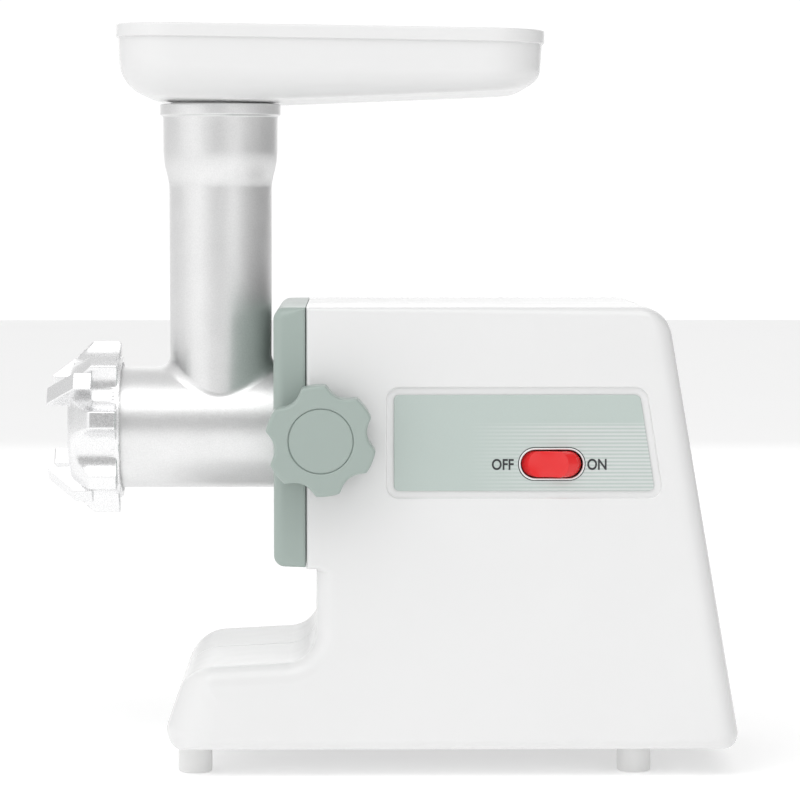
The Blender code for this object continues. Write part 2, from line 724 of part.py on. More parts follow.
def auger():
    """The feed screw: a core with one helical flight, a square nose for the blade and a six-sided tail."""
    core = [
        (-137.2, 0), (-137.2, 4.0), (-132.4, 4.0), (-132.4, 4.9), (-125.7, 4.9), (-125.7, 9.5), (-60.0, 12.0),
        (-46.0, 14.0), (-42.4, 14.0), (-42.4, 8.0), (-29.0, 8.0), (-29.0, 5.2), (-28.0, 5.2), (-28.0, 0),
    ]
    screw = turned("auger", "cast_aluminium", core, 20, at=(0, 0, AXIS_Z))
    square = box("auger_square", None, (-132.3, -5.0, AXIS_Z - 5.0), (-124.0, 5.0, AXIS_Z + 5.0))
    tail = extruded("auger_tail", None, list(arc((0, 0), HEX_R, 0, 300, 5)), -30.0, -4.5, "YZ", at=(0, 0, AXIS_Z))
    turns = 3.25
    per_turn = 18
    rings = []
    for i in range(int(turns * per_turn) + 1):
        share = i / (turns * per_turn)
        angle = 2 * math.pi * turns * share
        along = -53.0 - 70.0 * (share**0.85)
        outer = 24.4
        inner = 8.0
        thick = 2.1
        direction = (math.cos(angle), math.sin(angle))
        section = [(along - thick, inner), (along - thick * 0.6, outer), (along + thick * 0.6, outer),
                   (along + thick, inner)]
        rings.append([(x, r * direction[0], r * direction[1]) for x, r in section])
    flight = lofted("auger_flight", None, rings, at=(0, 0, AXIS_Z))
    join(screw, square, tail, flight)


def auger_bush():
    """The nylon washer that the auger's shaft turns in."""
    profile = [(-41.6, 8.4), (-41.6, 12.6), (-30.4, 12.6), (-30.4, 8.4)]
    turned("auger_bush", "nylon", profile, 20, at=(0, 0, AXIS_Z))


SCALLOPS = 8
FIRST_EAR = 53.0  # degrees up from -Y
EAR_HALF = 4.9


def ring_outline():
    """Eight narrow crests with deep round hollows between them; angles run from -Y upwards."""
    hollow_r = 14.2
    hollow_centre = 48.5
    points = []
    for i in range(SCALLOPS):
        middle = FIRST_EAR + 360 / SCALLOPS * (i + 0.5)
        away = math.radians(middle)
        centre = (hollow_centre * math.cos(away), hollow_centre * math.sin(away))
        points += list(arc(centre, hollow_r, middle + 180 + 61.7, middle + 180 - 61.7, 6))
        points += list(arc((0, 0), RING_R + 0.6, middle + 17.2, middle + 27.8, 1))
    return [(-a, b) for a, b in points]


def ring_ear(index):
    """A wedge that stands forward of the ring, for turning it by hand or with a bar."""
    side = [(-128.0, 41.3), (-136.8, 41.3), (-149.9, 28.9), (-150.9, 27.6), (-150.4, 26.6), (-128.0, 25.8)]
    angle = math.radians(FIRST_EAR + 90 * index)
    ear = extruded(
        f"ring_ear_{index}", None, side, -EAR_HALF, EAR_HALF, "XZ", at=(0, 0, AXIS_Z),
        turn=(angle - math.pi / 2, 0, 0),
    )
    return ear


def ring_nut():
    """The nut that holds the plate: a fluted ring, chamfered in front, with four ears on its crests."""
    silhouette = [
        (RING_FRONT_X, 0), (RING_FRONT_X, 26.5), (-139.8, 30.4), (-138.2, 34.0), (-128.6, RING_R),
        (RING_BACK_X - 1.1, RING_R), (RING_BACK_X - 1.1, 0),
    ]
    ring = turned("ring_nut", "cast_aluminium", silhouette, 48, at=(0, 0, AXIS_Z))
    keep_common(
        ring,
        extruded("ring_lobes", None, ring_outline(), -145, -113, "YZ", at=(0, 0, AXIS_Z)),
    )
    join(ring, turned(
        "ring_back_lip", None, [(-117.0, 0), (-117.0, 35.2), (RING_BACK_X, 35.2), (RING_BACK_X, 0)],
        32, at=(0, 0, AXIS_Z),
    ))
    join(ring, *[ring_ear(i) for i in range(4)])
    bore = [
        (-160, 0), (-160, 24.0), (PLATE_FRONT_X - 0.3, 24.0), (PLATE_FRONT_X - 0.3, THREAD_R + GAP),
        (-100, THREAD_R + GAP), (-100, 0),
    ]
    cut(ring, turned("ring_bore", None, bore, 40, at=(0, 0, AXIS_Z)))


# ---------------------------------------------------------------- tray


FLOOR_RISE = 0.056
RIM_HEIGHT = 6.4
RIM_STEP = 1.2
TRAY_CORNER = 30.0


def tray_ring(inset, z):
    """A rounded rectangle, in the tray's own frame about the tube's axis, whose floor rises to the back."""
    front = TRAY_FRONT_X - TUBE_X + inset
    back = TRAY_BACK_X - TUBE_X - inset * 0.8
    side = TRAY_HALF_WIDTH - inset
    corner = TRAY_CORNER - inset * 0.6
    outline = rounded(
        [(front, -side, corner, 0), (front, side, corner, 0), (back, side, corner, 0), (back, -side, corner, 0)],
        5,
    )
    slope = FLOOR_RISE * max(0.0, 1 - z / 24.0)
    return [(x, y, z + slope * max(x - 32.0, 0.0)) for x, y, _tag in outline]


def tray_bowl_rings(wall_inset, radius, floor, steps):
    """The tray's round bottom edge, from its flat floor up to its wall."""
    for step in range(steps + 1):
        angle = math.pi / 2 * step / steps
        yield tray_ring(
            wall_inset + radius * (1 - math.sin(angle)), floor + radius * (1 - math.cos(angle))
        )


def food_tray():
    """A deep white tray with a turned-out rim and a short spigot that drops into the feed tube."""
    rim = TRAY_RIM_Z - TRAY_FLOOR_Z
    outer = [
        *tray_bowl_rings(RIM_STEP + 0.6, 19.0, 0.0, 4), tray_ring(RIM_STEP, rim - RIM_HEIGHT - 0.4),
        tray_ring(0.2, rim - RIM_HEIGHT), tray_ring(0.0, rim - RIM_HEIGHT + 1.2), tray_ring(0.0, rim),
    ]
    inner = [
        *tray_bowl_rings(RIM_STEP + 0.6 + WALL, 16.5, WALL, 4), tray_ring(RIM_STEP + WALL, rim - RIM_HEIGHT),
        tray_ring(WALL, rim + 3.0),
    ]
    here = {"at": (TUBE_X, 0, TRAY_FLOOR_Z), "turn": (0, TRAY_LEAN, 0)}
    tray = lofted("food_tray", "white_plastic", outer, **here)
    cut(tray, lofted("tray_well", None, inner, **here))
    upright = {"at": (TUBE_X, 0, TRAY_FLOOR_Z), "turn": (0, TRAY_LEAN - math.pi / 2, 0)}
    spigot = [(-22.0, 0), (-22.0, 24.2), (-0.8, 24.6), (-0.2, 27.5), (1.5, 27.5), (1.5, 0)]
    join(tray, turned("tray_spigot", None, spigot, 32, **upright))
    cut(tray, turned("tray_drop", None, [(-30, 0), (-30, 22.0), (0, 22.2), (8, 24.0), (8, 0)], 32, **upright))


# ---------------------------------------------------------------- drive


def gear_outline(teeth, module, shift, flank_steps, first_angle):
    """Involute teeth; first_angle, in degrees, is the middle of the first tooth."""
    pitch_r = module * teeth / 2
    base_r = pitch_r * math.cos(PRESSURE_ANGLE)
    tip_r = pitch_r + module * (1 + shift)
    root_r = pitch_r - module * (1.3 - shift)
    half_pitch = math.pi / (2 * teeth) + 2 * shift * math.tan(PRESSURE_ANGLE) / teeth - BACKLASH / (2 * pitch_r)

    def half_angle(radius):
        if radius <= base_r:
            turned_in = 0.0
        else:
            pressure = math.acos(base_r / radius)
            turned_in = math.tan(pressure) - pressure
        return half_pitch + math.tan(PRESSURE_ANGLE) - PRESSURE_ANGLE - turned_in

    points = []
    for tooth in range(teeth):
        middle = math.radians(first_angle) + 2 * math.pi * tooth / teeth
        radii = [root_r + (tip_r - root_r) * i / flank_steps for i in range(flank_steps + 1)]
        flank = [(r, max(half_angle(r), 0.1 / r)) for r in radii]
        for radius, half in flank:
            points.append((radius * math.cos(middle - half), radius * math.sin(middle - half)))
        for radius, half in flank[::-1]:
            points.append((radius * math.cos(middle + half), radius * math.sin(middle + half)))
    return points


OUTPUT_GEAR_XS = (26.0, 36.0)
MOTOR_GEAR_XS = (13.5, 21.5)
SHAFT_R = 7.0
IDLER_R = 4.0
MOTOR_SHAFT_R = 2.6


def gear(name, paint, teeth, module, shift, flank_steps, first_angle, xs, z, bore_r):
    outline = gear_outline(teeth, module, shift, flank_steps, first_angle)
    wheel = extruded(name, paint, outline, xs[0], xs[1], "YZ", at=(0, 0, z))
    bore = [(xs[0] - 5, 0), (xs[0] - 5, bore_r), (xs[1] + 5, bore_r), (xs[1] + 5, 0)]
    cut(wheel, turned(name + "_bore", None, bore, 12, at=(0, 0, z)))


def gear_train():
    """Motor pinion to idler wheel, idler pinion to output wheel; a tooth of each wheel points down into a
    gap of the pinion under it."""
    gap_up = 90 + 180 / PINION_TEETH
    gear("output_gear", "nylon", WHEEL_TEETH, OUTPUT_MODULE, -PROFILE_SHIFT, 1, -90, OUTPUT_GEAR_XS, AXIS_Z,
         SHAFT_R + GAP)
    gear("idler_pinion", "steel", PINION_TEETH, OUTPUT_MODULE, PROFILE_SHIFT, 3, gap_up, OUTPUT_GEAR_XS,
         IDLER_Z, IDLER_R + GAP)
    gear("idler_gear", "nylon", WHEEL_TEETH, MOTOR_MODULE, -PROFILE_SHIFT, 1, -90, MOTOR_GEAR_XS, IDLER_Z,
         IDLER_R + GAP)
    gear("motor_pinion", "steel", PINION_TEETH, MOTOR_MODULE, PROFILE_SHIFT, 3, gap_up, MOTOR_GEAR_XS,
         MOTOR_Z, MOTOR_SHAFT_R + GAP)
    idler = [(7.0, 0), (7.0, IDLER_R), (42.0, IDLER_R), (42.0, 0)]
    turned("idler_shaft", "steel", idler, 12, at=(0, 0, IDLER_Z))
    shaft = turned(
        "output_shaft", "steel",
        [(-22.0, 0), (-22.0, 10.5), (2.5, 10.5), (4.5, SHAFT_R), (45.0, SHAFT_R), (45.0, 0)], 20,
        at=(0, 0, AXIS_Z),
    )
    socket = list(arc((0, 0), HEX_R + 0.45, 0, 300, 5))
    cut(shaft, extruded("hex_socket", None, socket, -30, -3.5, "YZ", at=(0, 0, AXIS_Z)))


GEARBOX_BACK_X = 44.0


def gearbox_outline(inset):
    """A teardrop round the two wheels, (y, z)."""
    upper = 44.0 - inset
    lower = 33.0 - inset
    upper_arc = arc((0, AXIS_Z), upper, -8, 188, 12)
    lower_arc = arc((0, IDLER_Z - 9), lower, 188, 352, 8)
    return list(upper_arc) + list(lower_arc)


def gearbox():
    housing = extruded("gearbox_housing", "dark_plastic", gearbox_outline(0), 10.4, GEARBOX_BACK_X, "YZ")
    cut(housing, extruded("gearbox_well", None, gearbox_outline(3.0), 0.0, 39.5, "YZ"))
    cover = extruded("gearbox_cover", "dark_plastic", gearbox_outline(0), 4.4, 10.0, "YZ")
    for name, z, radius in (("output", AXIS_Z, SHAFT_R), ("idler", IDLER_Z, IDLER_R)):
        bore = [(0, 0), (0, radius + GAP), (60, radius + GAP), (60, 0)]
        cut(housing, turned(f"housing_{name}_bore", None, bore, 16, at=(0, 0, z)))
        cut(cover, turned(f"cover_{name}_bore", None, bore, 16, at=(0, 0, z)))
    entry = [(30, 0), (30, 9.5), (60, 9.5), (60, 0)]
    cut(housing, turned("housing_motor_entry", None, entry, 16, at=(0, 0, MOTOR_Z)))
    bearing = [(39.8, MOTOR_SHAFT_R + GAP), (39.8, 9.1), (45.6, 9.1), (45.6, MOTOR_SHAFT_R + GAP)]
    turned("front_bearing", "steel", bearing, 16, at=(0, 0, MOTOR_Z))


STATOR_XS = (72.0, 112.0)
STATOR_HALF = 38.0
STATOR_BORE_R = 23.5
ARMATURE_R = 22.6
MOTOR_END_X = 146.0


def motor():
    """A brush motor: laminated stator with two coils, wound armature, fan in front, brushes behind."""
    half = STATOR_HALF
    square = plain(rounded([(-half, -half, 12, 0), (-half, half, 12, 0), (half, half, 12, 0), (half, -half, 12, 0)], 3))
    stator = extruded("stator", "steel", square, *STATOR_XS, "YZ", at=(0, 0, MOTOR_Z))
    cut(stator, turned("stator_bore", None, [(50, 0), (50, STATOR_BORE_R), (130, STATOR_BORE_R), (130, 0)], 20,
                       at=(0, 0, MOTOR_Z)))
    for name, low, high in (("front_field_coil", 62.0, 71.6), ("back_field_coil", 112.4, 120.0)):
        coil = [(low, 24.5), (low, 29.0), (high, 29.8), (high, 24.5)]
        turned(name, "copper", coil, 16, at=(0, 0, MOTOR_Z))
    turned("armature_shaft", "steel", [(11.5, 0), (11.5, MOTOR_SHAFT_R), (150.0, MOTOR_SHAFT_R), (150.0, 0)], 10,
           at=(0, 0, MOTOR_Z))
    bore = MOTOR_SHAFT_R + GAP
    turned("armature", "copper", [(70.0, bore), (70.0, 18.0), (74.0, ARMATURE_R), (110.0, ARMATURE_R),
                                  (114.0, 18.0), (114.0, bore)], 20, at=(0, 0, MOTOR_Z))
    turned("commutator", "copper", [(122.5, bore), (122.5, 10.5), (136.0, 10.5), (136.0, bore)], 16,
           at=(0, 0, MOTOR_Z))
    motor_fan(bore)
    for name, side in (("left_brush_holder", 1), ("right_brush_holder", -1)):
        near, far = sorted((side * 11.2, side * 34.0))
        box(name, "dark_plastic", (125.0, near, MOTOR_Z - 5), (133.0, far, MOTOR_Z + 5))
    frame = box("motor_end_frame", "dark_plastic", (138.0, -36, MOTOR_Z - 12), (MOTOR_END_X, 36, MOTOR_Z + 12))
    cut(frame, turned("end_bearing_seat", None, [(130, 0), (130, 9.5), (160, 9.5), (160, 0)], 16,
                      at=(0, 0, MOTOR_Z)))
    turned("back_bearing", "steel", [(139.0, bore), (139.0, 9.1), (145.0, 9.1), (145.0, bore)], 16,
           at=(0, 0, MOTOR_Z))
    for name, side in (("left_motor_bolt", 1), ("right_motor_bolt", -1)):
        y = side * 31.5
        bolt = [(47.0, 0), (47.0, 2.0), (MOTOR_END_X + 0.4, 2.0), (MOTOR_END_X + 0.4, 4.0),
                (MOTOR_END_X + 3.4, 4.0), (MOTOR_END_X + 3.4, 0)]
        turned(name, "steel", bolt, 8, at=(0, y, MOTOR_Z + 8.0))
        hole = [(40, 0), (40, 2.4), (155, 2.4), (155, 0)]
        for part in (stator, frame):
            cut(part, turned(f"{name}_{part.name}_hole", None, hole, 8, at=(0, y, MOTOR_Z + 8.0)))


def motor_fan(bore):
    """A flat fan with nine blades on a hub."""
    blades = 9
    points = []
    for i in range(blades):
        middle = 360 / blades * i
        points += list(arc((0, 0), 11.0, middle - 14, middle - 14, 1))[:1]
        points += list(arc((0, 0), 29.0, middle - 4, middle + 12, 2))
        points += list(arc((0, 0), 11.0, middle + 14, middle + 14, 1))[:1]
    fan = extruded("motor_fan", "dark_plastic", points, 50.0, 59.0, "YZ", at=(0, 0, MOTOR_Z))
    cut(fan, turned("fan_bore", None, [(45, 0), (45, bore), (65, bore), (65, 0)], 10, at=(0, 0, MOTOR_Z)))


# ---------------------------------------------------------------- whole machine


def centre_footprint(root):
    """Moves the machine so that its bounding box stands centred on the world origin."""
    bpy.context.view_layer.update()
    graph = bpy.context.evaluated_depsgraph_get()
    corners = []
    for obj in bpy.data.objects:
        if obj.type == "MESH" and not obj.hide_render:
            solid = obj.evaluated_get(graph)
            corners += [solid.matrix_world @ vertex.co for vertex in solid.data.vertices]
    for axis in (0, 1):
        values = [corner[axis] for corner in corners]
        root.location[axis] = -(min(values) + max(values)) / 2


def main():
    clear_scene()
    root = bpy.data.objects.new("grinder", None)
    bpy.context.scene.collection.objects.link(root)
    switch_side_casing()
    plain_side_casing()
    front_collar()
    base_plate()
    feet()
    casing_screws()
    rear_vent_grille()
    cord_gland()
    nameplate()
    switch()
    head_socket()
    clamp_knob()
    head_casting()
    grinding_plate()
    cutting_blade()
    auger()
    auger_bush()
    ring_nut()
    food_tray()
    gear_train()
    gearbox()
    motor()
    centre_footprint(root)


main()
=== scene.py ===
"""The looks of the electric meat grinder: finer shells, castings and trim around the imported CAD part.

Lengths below are millimetres in the machine's own layout: X runs from the nozzle end (-X) to the back (+X),
Y is zero on the middle plane and Z is zero on the table. Each piece's mesh holds layout metres, and its
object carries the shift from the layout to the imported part's frame.
"""

import json
import math

import bmesh
import bpy
from mathutils import Matrix, Vector


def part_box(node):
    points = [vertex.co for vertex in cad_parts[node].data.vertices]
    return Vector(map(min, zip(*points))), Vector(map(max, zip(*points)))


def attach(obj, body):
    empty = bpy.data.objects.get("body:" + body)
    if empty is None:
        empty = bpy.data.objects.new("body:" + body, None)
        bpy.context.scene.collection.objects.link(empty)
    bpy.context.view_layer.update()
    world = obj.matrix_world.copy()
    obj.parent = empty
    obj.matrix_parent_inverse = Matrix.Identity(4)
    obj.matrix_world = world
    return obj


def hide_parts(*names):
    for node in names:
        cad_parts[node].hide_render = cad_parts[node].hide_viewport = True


MM = 0.001

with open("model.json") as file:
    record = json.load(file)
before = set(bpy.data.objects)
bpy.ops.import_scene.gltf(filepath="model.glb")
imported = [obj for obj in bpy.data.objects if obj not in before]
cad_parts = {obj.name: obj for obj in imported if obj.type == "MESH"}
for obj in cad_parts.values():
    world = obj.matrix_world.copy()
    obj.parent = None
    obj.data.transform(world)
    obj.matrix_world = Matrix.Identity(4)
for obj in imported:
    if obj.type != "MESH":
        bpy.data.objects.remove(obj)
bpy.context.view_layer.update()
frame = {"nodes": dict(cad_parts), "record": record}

# ---- driving dimensions ----
SEAM_X = -21.9
GAP = 0.35
collar_low, collar_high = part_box("front_collar")
gear_low, gear_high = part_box("output_gear")
SHIFT = Vector((
    collar_high.x - (SEAM_X - GAP) * MM,
    (gear_low.y + gear_high.y) / 2,
    0.0,
))
AXIS_Z = 164.2
HALF_WIDTH = 82.0
WALL = 2.6
TOP_Z = 226.5
BOTTOM_Z = 13.5
COLLAR_FRONT_X = -37.6
COLLAR_BOTTOM_Z = 102.0
NECK_X = -17.6
BASE_FRONT_ROUND = 22.0
BACK_ROUND = 10.0
LOW_CORNER_Z = 30.0  # the base's two round corners lie below this
TOP_BACK_X = 151.2
BOTTOM_BACK_X = 187.6
TUBE_X = -65.5
TUBE_R = 25.5
TUBE_TOP_Z = 325.1
BARREL_R = 30.25
THREAD_R = 32.0
SPIGOT_R = 25.0
BARREL_FRONT_X = -136.0
SPIGOT_END_X = -4.0
JOIN_R = 6.0  # the fillet where the feed tube grows out of the barrel
RING_FRONT_X = -140.4
RING_BACK_X = -114.5
RING_R = 43.0
PLATE_R = 27.0
PLATE_FRONT_X = -138.0
PLATE_BACK_X = -132.5
TRAY_FLOOR_Z = 326.4
TRAY_RIM_Z = 362.0
TRAY_FRONT_X = -115.0
TRAY_BACK_X = 93.0
TRAY_HALF_WIDTH = 74.0
TRAY_LEAN = math.radians(0.9)
KNOB_X = -14.8
KNOB_FACE_Y = -107.0
KNOB_R = 26.3
SWITCH_X = 95.5
SWITCH_Z = 151.6
BACK_LEAN = math.atan((BOTTOM_BACK_X - TOP_BACK_X) / (TOP_Z - BOTTOM_Z))


# ---------------------------------------------------------------- mesh helpers

ALONG_Z = (0.0, -math.pi / 2, 0.0)
ALONG_Y = (0.0, 0.0, math.pi / 2)
PLANES = {
    "XZ": lambda a, b, depth: (a, depth, b),
    "YZ": lambda a, b, depth: (depth, a, b),
    "XY": lambda a, b, depth: (a, b, depth),
}


def placed(at, turn):
    about_x = Matrix.Rotation(turn[0], 4, "X")
    about_y = Matrix.Rotation(turn[1], 4, "Y")
    about_z = Matrix.Rotation(turn[2], 4, "Z")
    return Matrix.Translation(Vector(at)) @ (about_z @ about_y @ about_x)


def finish_mesh(bm, name, at=(0, 0, 0), turn=(0, 0, 0), sharp=32):
    """Turns bm, in millimetres, into an object whose mesh is in layout metres."""
    bmesh.ops.transform(bm, matrix=placed(at, turn), verts=bm.verts)
    bmesh.ops.remove_doubles(bm, verts=bm.verts, dist=1e-4)
    bmesh.ops.dissolve_degenerate(bm, edges=bm.edges, dist=1e-4)
    bmesh.ops.recalc_face_normals(bm, faces=bm.faces)
    bmesh.ops.scale(bm, vec=(MM, MM, MM), verts=bm.verts)
    mesh = bpy.data.meshes.new(name)
    bm.to_mesh(mesh)
    bm.free()
    mesh.shade_smooth()
    mesh.set_sharp_from_angle(angle=math.radians(sharp))
    obj = bpy.data.objects.new(name, mesh)
    bpy.context.scene.collection.objects.link(obj)
    obj.location = SHIFT
    return obj


def turned(name, profile, steps, at=(0, 0, 0), turn=(0, 0, 0)):
    """Spins (along, radius) points about local X."""
    bm = bmesh.new()
    verts = [bm.verts.new((along, radius, 0.0)) for along, radius in profile]
    edges = [bm.edges.new(pair) for pair in zip(verts, verts[1:])]
    if profile[0][1] > 0 or profile[-1][1] > 0:
        edges.append(bm.edges.new((verts[-1], verts[0])))
    bmesh.ops.spin(
        bm, geom=verts + edges, cent=(0, 0, 0), axis=(1, 0, 0), angle=2 * math.pi, steps=steps, use_merge=True
    )
    return finish_mesh(bm, name, at, turn)


def extruded(name, outline, low, high, plane, at=(0, 0, 0), turn=(0, 0, 0)):
    to_point = PLANES[plane]
    bm = bmesh.new()
    face = bm.faces.new([bm.verts.new(to_point(a, b, low)) for a, b in outline])
    grown = bmesh.ops.extrude_face_region(bm, geom=[face])["geom"]
    tops = [v for v in grown if isinstance(v, bmesh.types.BMVert)]
    bmesh.ops.translate(bm, verts=tops, vec=Vector(to_point(0, 0, high - low)))
    return finish_mesh(bm, name, at, turn)


def skinned(name, rings, at=(0, 0, 0), turn=(0, 0, 0), closed=False, sharp=32):
    """Quads between rings that have the same number of points, capped at both ends unless closed."""
    bm = bmesh.new()
    rows = [[bm.verts.new(point) for point in ring] for ring in rings]
    pairs = list(zip(rows, rows[1:]))
    if closed:
        pairs.append((rows[-1], rows[0]))
    else:
        bm.faces.new(rows[0])
        bm.faces.new(rows[-1])
    for low, high in pairs:
        for i in range(len(low)):
            j = (i + 1) % len(low)
            bm.faces.new((low[i], low[j], high[j], high[i]))
    return finish_mesh(bm, name, at, turn, sharp)


def box(name, low, high):
    corners = [(low[0], low[1]), (high[0], low[1]), (high[0], high[1]), (low[0], high[1])]
    return extruded(name, corners, low[2], high[2], "XY")


def apply_modifiers(obj):
    """Bakes the modifiers into the mesh."""
    graph = bpy.context.evaluated_depsgraph_get()
    solid = bpy.data.meshes.new_from_object(obj.evaluated_get(graph))
    obj.modifiers.clear()
    obj.data = solid
    return obj


def combined(target, operation, tools):
    for tool in tools:
        modifier = target.modifiers.new(operation, "BOOLEAN")
        modifier.operation = operation
        modifier.object = tool
    apply_modifiers(target)
    for tool in tools:
        bpy.data.objects.remove(tool)
    target.data.shade_smooth()
    target.data.set_sharp_from_angle(angle=math.radians(32))
    return target


def cut(target, *tools):
    return combined(target, "DIFFERENCE", tools)


def join(target, *tools):
    return combined(target, "UNION", tools)


def softened(obj, width, segments=3, angle=32):
    """Rounds the sharp edges, then keeps flat faces looking flat."""
    bevel = obj.modifiers.new("edges", "BEVEL")
    bevel.width = width * MM
    bevel.segments = segments
    bevel.limit_method = "ANGLE"
    bevel.angle_limit = math.radians(angle)
    bevel.use_clamp_overlap = True
    bevel.harden_normals = False
    return flat_shaded(obj)


def flat_shaded(obj):
    obj.modifiers.new("normals", "WEIGHTED_NORMAL").keep_sharp = True
    return apply_modifiers(obj)


def arc(centre, radius, start, end, steps):
    for i in range(steps + 1):
        angle = math.radians(start + (end - start) * i / steps)
        yield (centre[0] + radius * math.cos(angle), centre[1] + radius * math.sin(angle))


def rounded(corners, steps=10):
    """An outline of (a, b, radius, tag) corners with each corner rounded, as (a, b, tag) points."""
    points = []
    count = len(corners)
    for i, (a, b, radius, tag) in enumerate(corners):
        here = Vector((a, b))
        before = (Vector(corners[i - 1][:2]) - here).normalized()
        after = (Vector(corners[(i + 1) % count][:2]) - here).normalized()
        if radius <= 0:
            points.append((a, b, tag))
            continue
        half = before.angle(after) / 2
        centre = here + (before + after).normalized() * (radius / math.sin(half))
        reach = radius / math.tan(half)
        first = here + before * reach - centre
        last = here + after * reach - centre
        sweep = first.angle_signed(last)
        for step in range(steps + 1):
            point = centre + Matrix.Rotation(-sweep * step / steps, 2) @ first
            points.append((point.x, point.y, tag))
    return points


def plain(points):
    return [(p[0], p[1]) for p in points]


def pill(length, height, steps=20):
    radius = height / 2
    reach = length / 2 - radius
    return list(arc((reach, 0), radius, -90, 90, steps)) + list(arc((-reach, 0), radius, 90, 270, steps))


def shifted(outline, by_a, by_b):
    return [(a + by_a, b + by_b) for a, b in outline]


def inward_normals(points):
    normals = []
    for i, (a, b, *_rest) in enumerate(points):
        before = points[i - 1]
        after = points[(i + 1) % len(points)]
        first = Vector((a - before[0], b - before[1])).normalized()
        second = Vector((after[0] - a, after[1] - b)).normalized()
        mean = (first + second).normalized()
        stretch = 1.0 / max(0.5, first.dot(mean))
        normals.append(Vector((mean.y, -mean.x)) * stretch)
    return normals


def side_rings(points, half_width, sign, inset=0.0, steps=10, upright=None):
    """Rings of a side profile out to a flat side, with rounded edges. The last ring lies in the flat side,
    so that the side shades flat."""
    rings = []
    normals = inward_normals(points)
    for step in range(steps + 2):
        angle = math.pi / 2 * min(step, steps) / steps
        further = 0.25 if step > steps else 0.0
        ring = []
        for (a, b, radius), normal in zip(points, normals):
            along = radius if upright is None else upright(a, normal.x, radius)
            share = normal.x**2 / normal.length_squared
            level = max(radius - inset, 0.05)
            edge = max(along * share + radius * (1 - share) - inset, 0.05)
            into = inset + level * (1 - math.cos(angle)) + further
            slide = 0.0
            if upright is not None:
                whole = upright(a, -a, radius) - radius if b < LOW_CORNER_Z else (along - radius) * share
                slide = math.copysign(whole * (1 - math.cos(angle)), -a if b < LOW_CORNER_Z else normal.x)
            across = half_width - inset - edge * (1 - math.sin(angle))
            ring.append((a + normal.x * into + slide, sign * across, b + normal.y * into))
        rings.append(ring)
    return rings


# ---------------------------------------------------------------- materials


class Nodes:
    """Short calls for building one material's nodes."""

    def __init__(self, name):
        self.material = bpy.data.materials.new(name)
        self.material.use_nodes = True
        self.tree = self.material.node_tree
        self.shader = self.tree.nodes["Principled BSDF"]
        self.place = self.add("ShaderNodeTexCoord").outputs["Object"]

    def add(self, kind, **settings):
        node = self.tree.nodes.new(kind)
        for key, value in settings.items():
            setattr(node, key, value)
        return node

    def link(self, source, target):
        self.tree.links.new(source, target)

    def noise(self, scale, detail=3.0, roughness=0.55, stretch=(1, 1, 1)):
        """Noise whose features are about one over scale metres across."""
        mapping = self.add("ShaderNodeMapping")
        mapping.inputs["Scale"].default_value = stretch
        self.link(self.place, mapping.inputs["Vector"])
        node = self.add("ShaderNodeTexNoise")
        node.inputs["Scale"].default_value = scale
        node.inputs["Detail"].default_value = detail
        node.inputs["Roughness"].default_value = roughness
        self.link(mapping.outputs[0], node.inputs["Vector"])
        return node.outputs["Fac"]

    def ranged(self, value, low, high, from_low=0.3, from_high=0.7):
        node = self.add("ShaderNodeMapRange")
        node.inputs["From Min"].default_value = from_low
        node.inputs["From Max"].default_value = from_high
        node.inputs["To Min"].default_value = low
        node.inputs["To Max"].default_value = high
        self.link(value, node.inputs["Value"])
        return node.outputs["Result"]

    def math(self, operation, a, b=0.0):
        node = self.add("ShaderNodeMath", operation=operation)
        for socket, value in zip(node.inputs, (a, b)):
            if isinstance(value, (int, float)):
                socket.default_value = value
            else:
                self.link(value, socket)
        return node.outputs[0]

    def mixed(self, share, a, b):
        node = self.add("ShaderNodeMix", data_type="RGBA")
        self.link(share, node.inputs[0])
        for socket, value in ((node.inputs[6], a), (node.inputs[7], b)):
            if isinstance(value, tuple):
                socket.default_value = (*value, 1.0)
            else:
                self.link(value, socket)
        return node.outputs[2]

    def bump(self, height, strength, distance):
        node = self.add("ShaderNodeBump")
        node.inputs["Strength"].default_value = strength
        node.inputs["Distance"].default_value = distance
        self.link(height, node.inputs["Height"])
        self.link(node.outputs[0], self.shader.inputs["Normal"])

    def colour(self, value):
        self.link(value, self.shader.inputs["Base Color"])

    def set(self, **values):
        names = {
            "rough": "Roughness", "metal": "Metallic", "coat": "Coat Weight",
            "coat_rough": "Coat Roughness", "ior": "IOR", "specular": "Specular IOR Level",
        }
        for key, value in values.items():
            socket = self.shader.inputs[names[key]]
            if isinstance(value, (int, float)):
                socket.default_value = value
            else:
                self.link(value, socket)


def tinted(colour, factor):
    return tuple(min(1.0, channel * factor) for channel in colour)


def moulded_plastic(name, colour, roughness, grain=900.0, depth=0.00002, strength=0.12):
    """Injection-moulded plastic: a faint orange peel, cloudy gloss and barely uneven colour."""
    nodes = Nodes(name)
    nodes.colour(nodes.mixed(
        nodes.ranged(nodes.noise(9.0, 2.0), 0.0, 1.0), tinted(colour, 0.985), tinted(colour, 1.01)
    ))
    nodes.set(rough=nodes.ranged(nodes.noise(35.0, 4.0), roughness * 0.88, roughness * 1.15), metal=0.0)
    nodes.bump(nodes.noise(grain, 2.0), strength, depth)
    return nodes.material


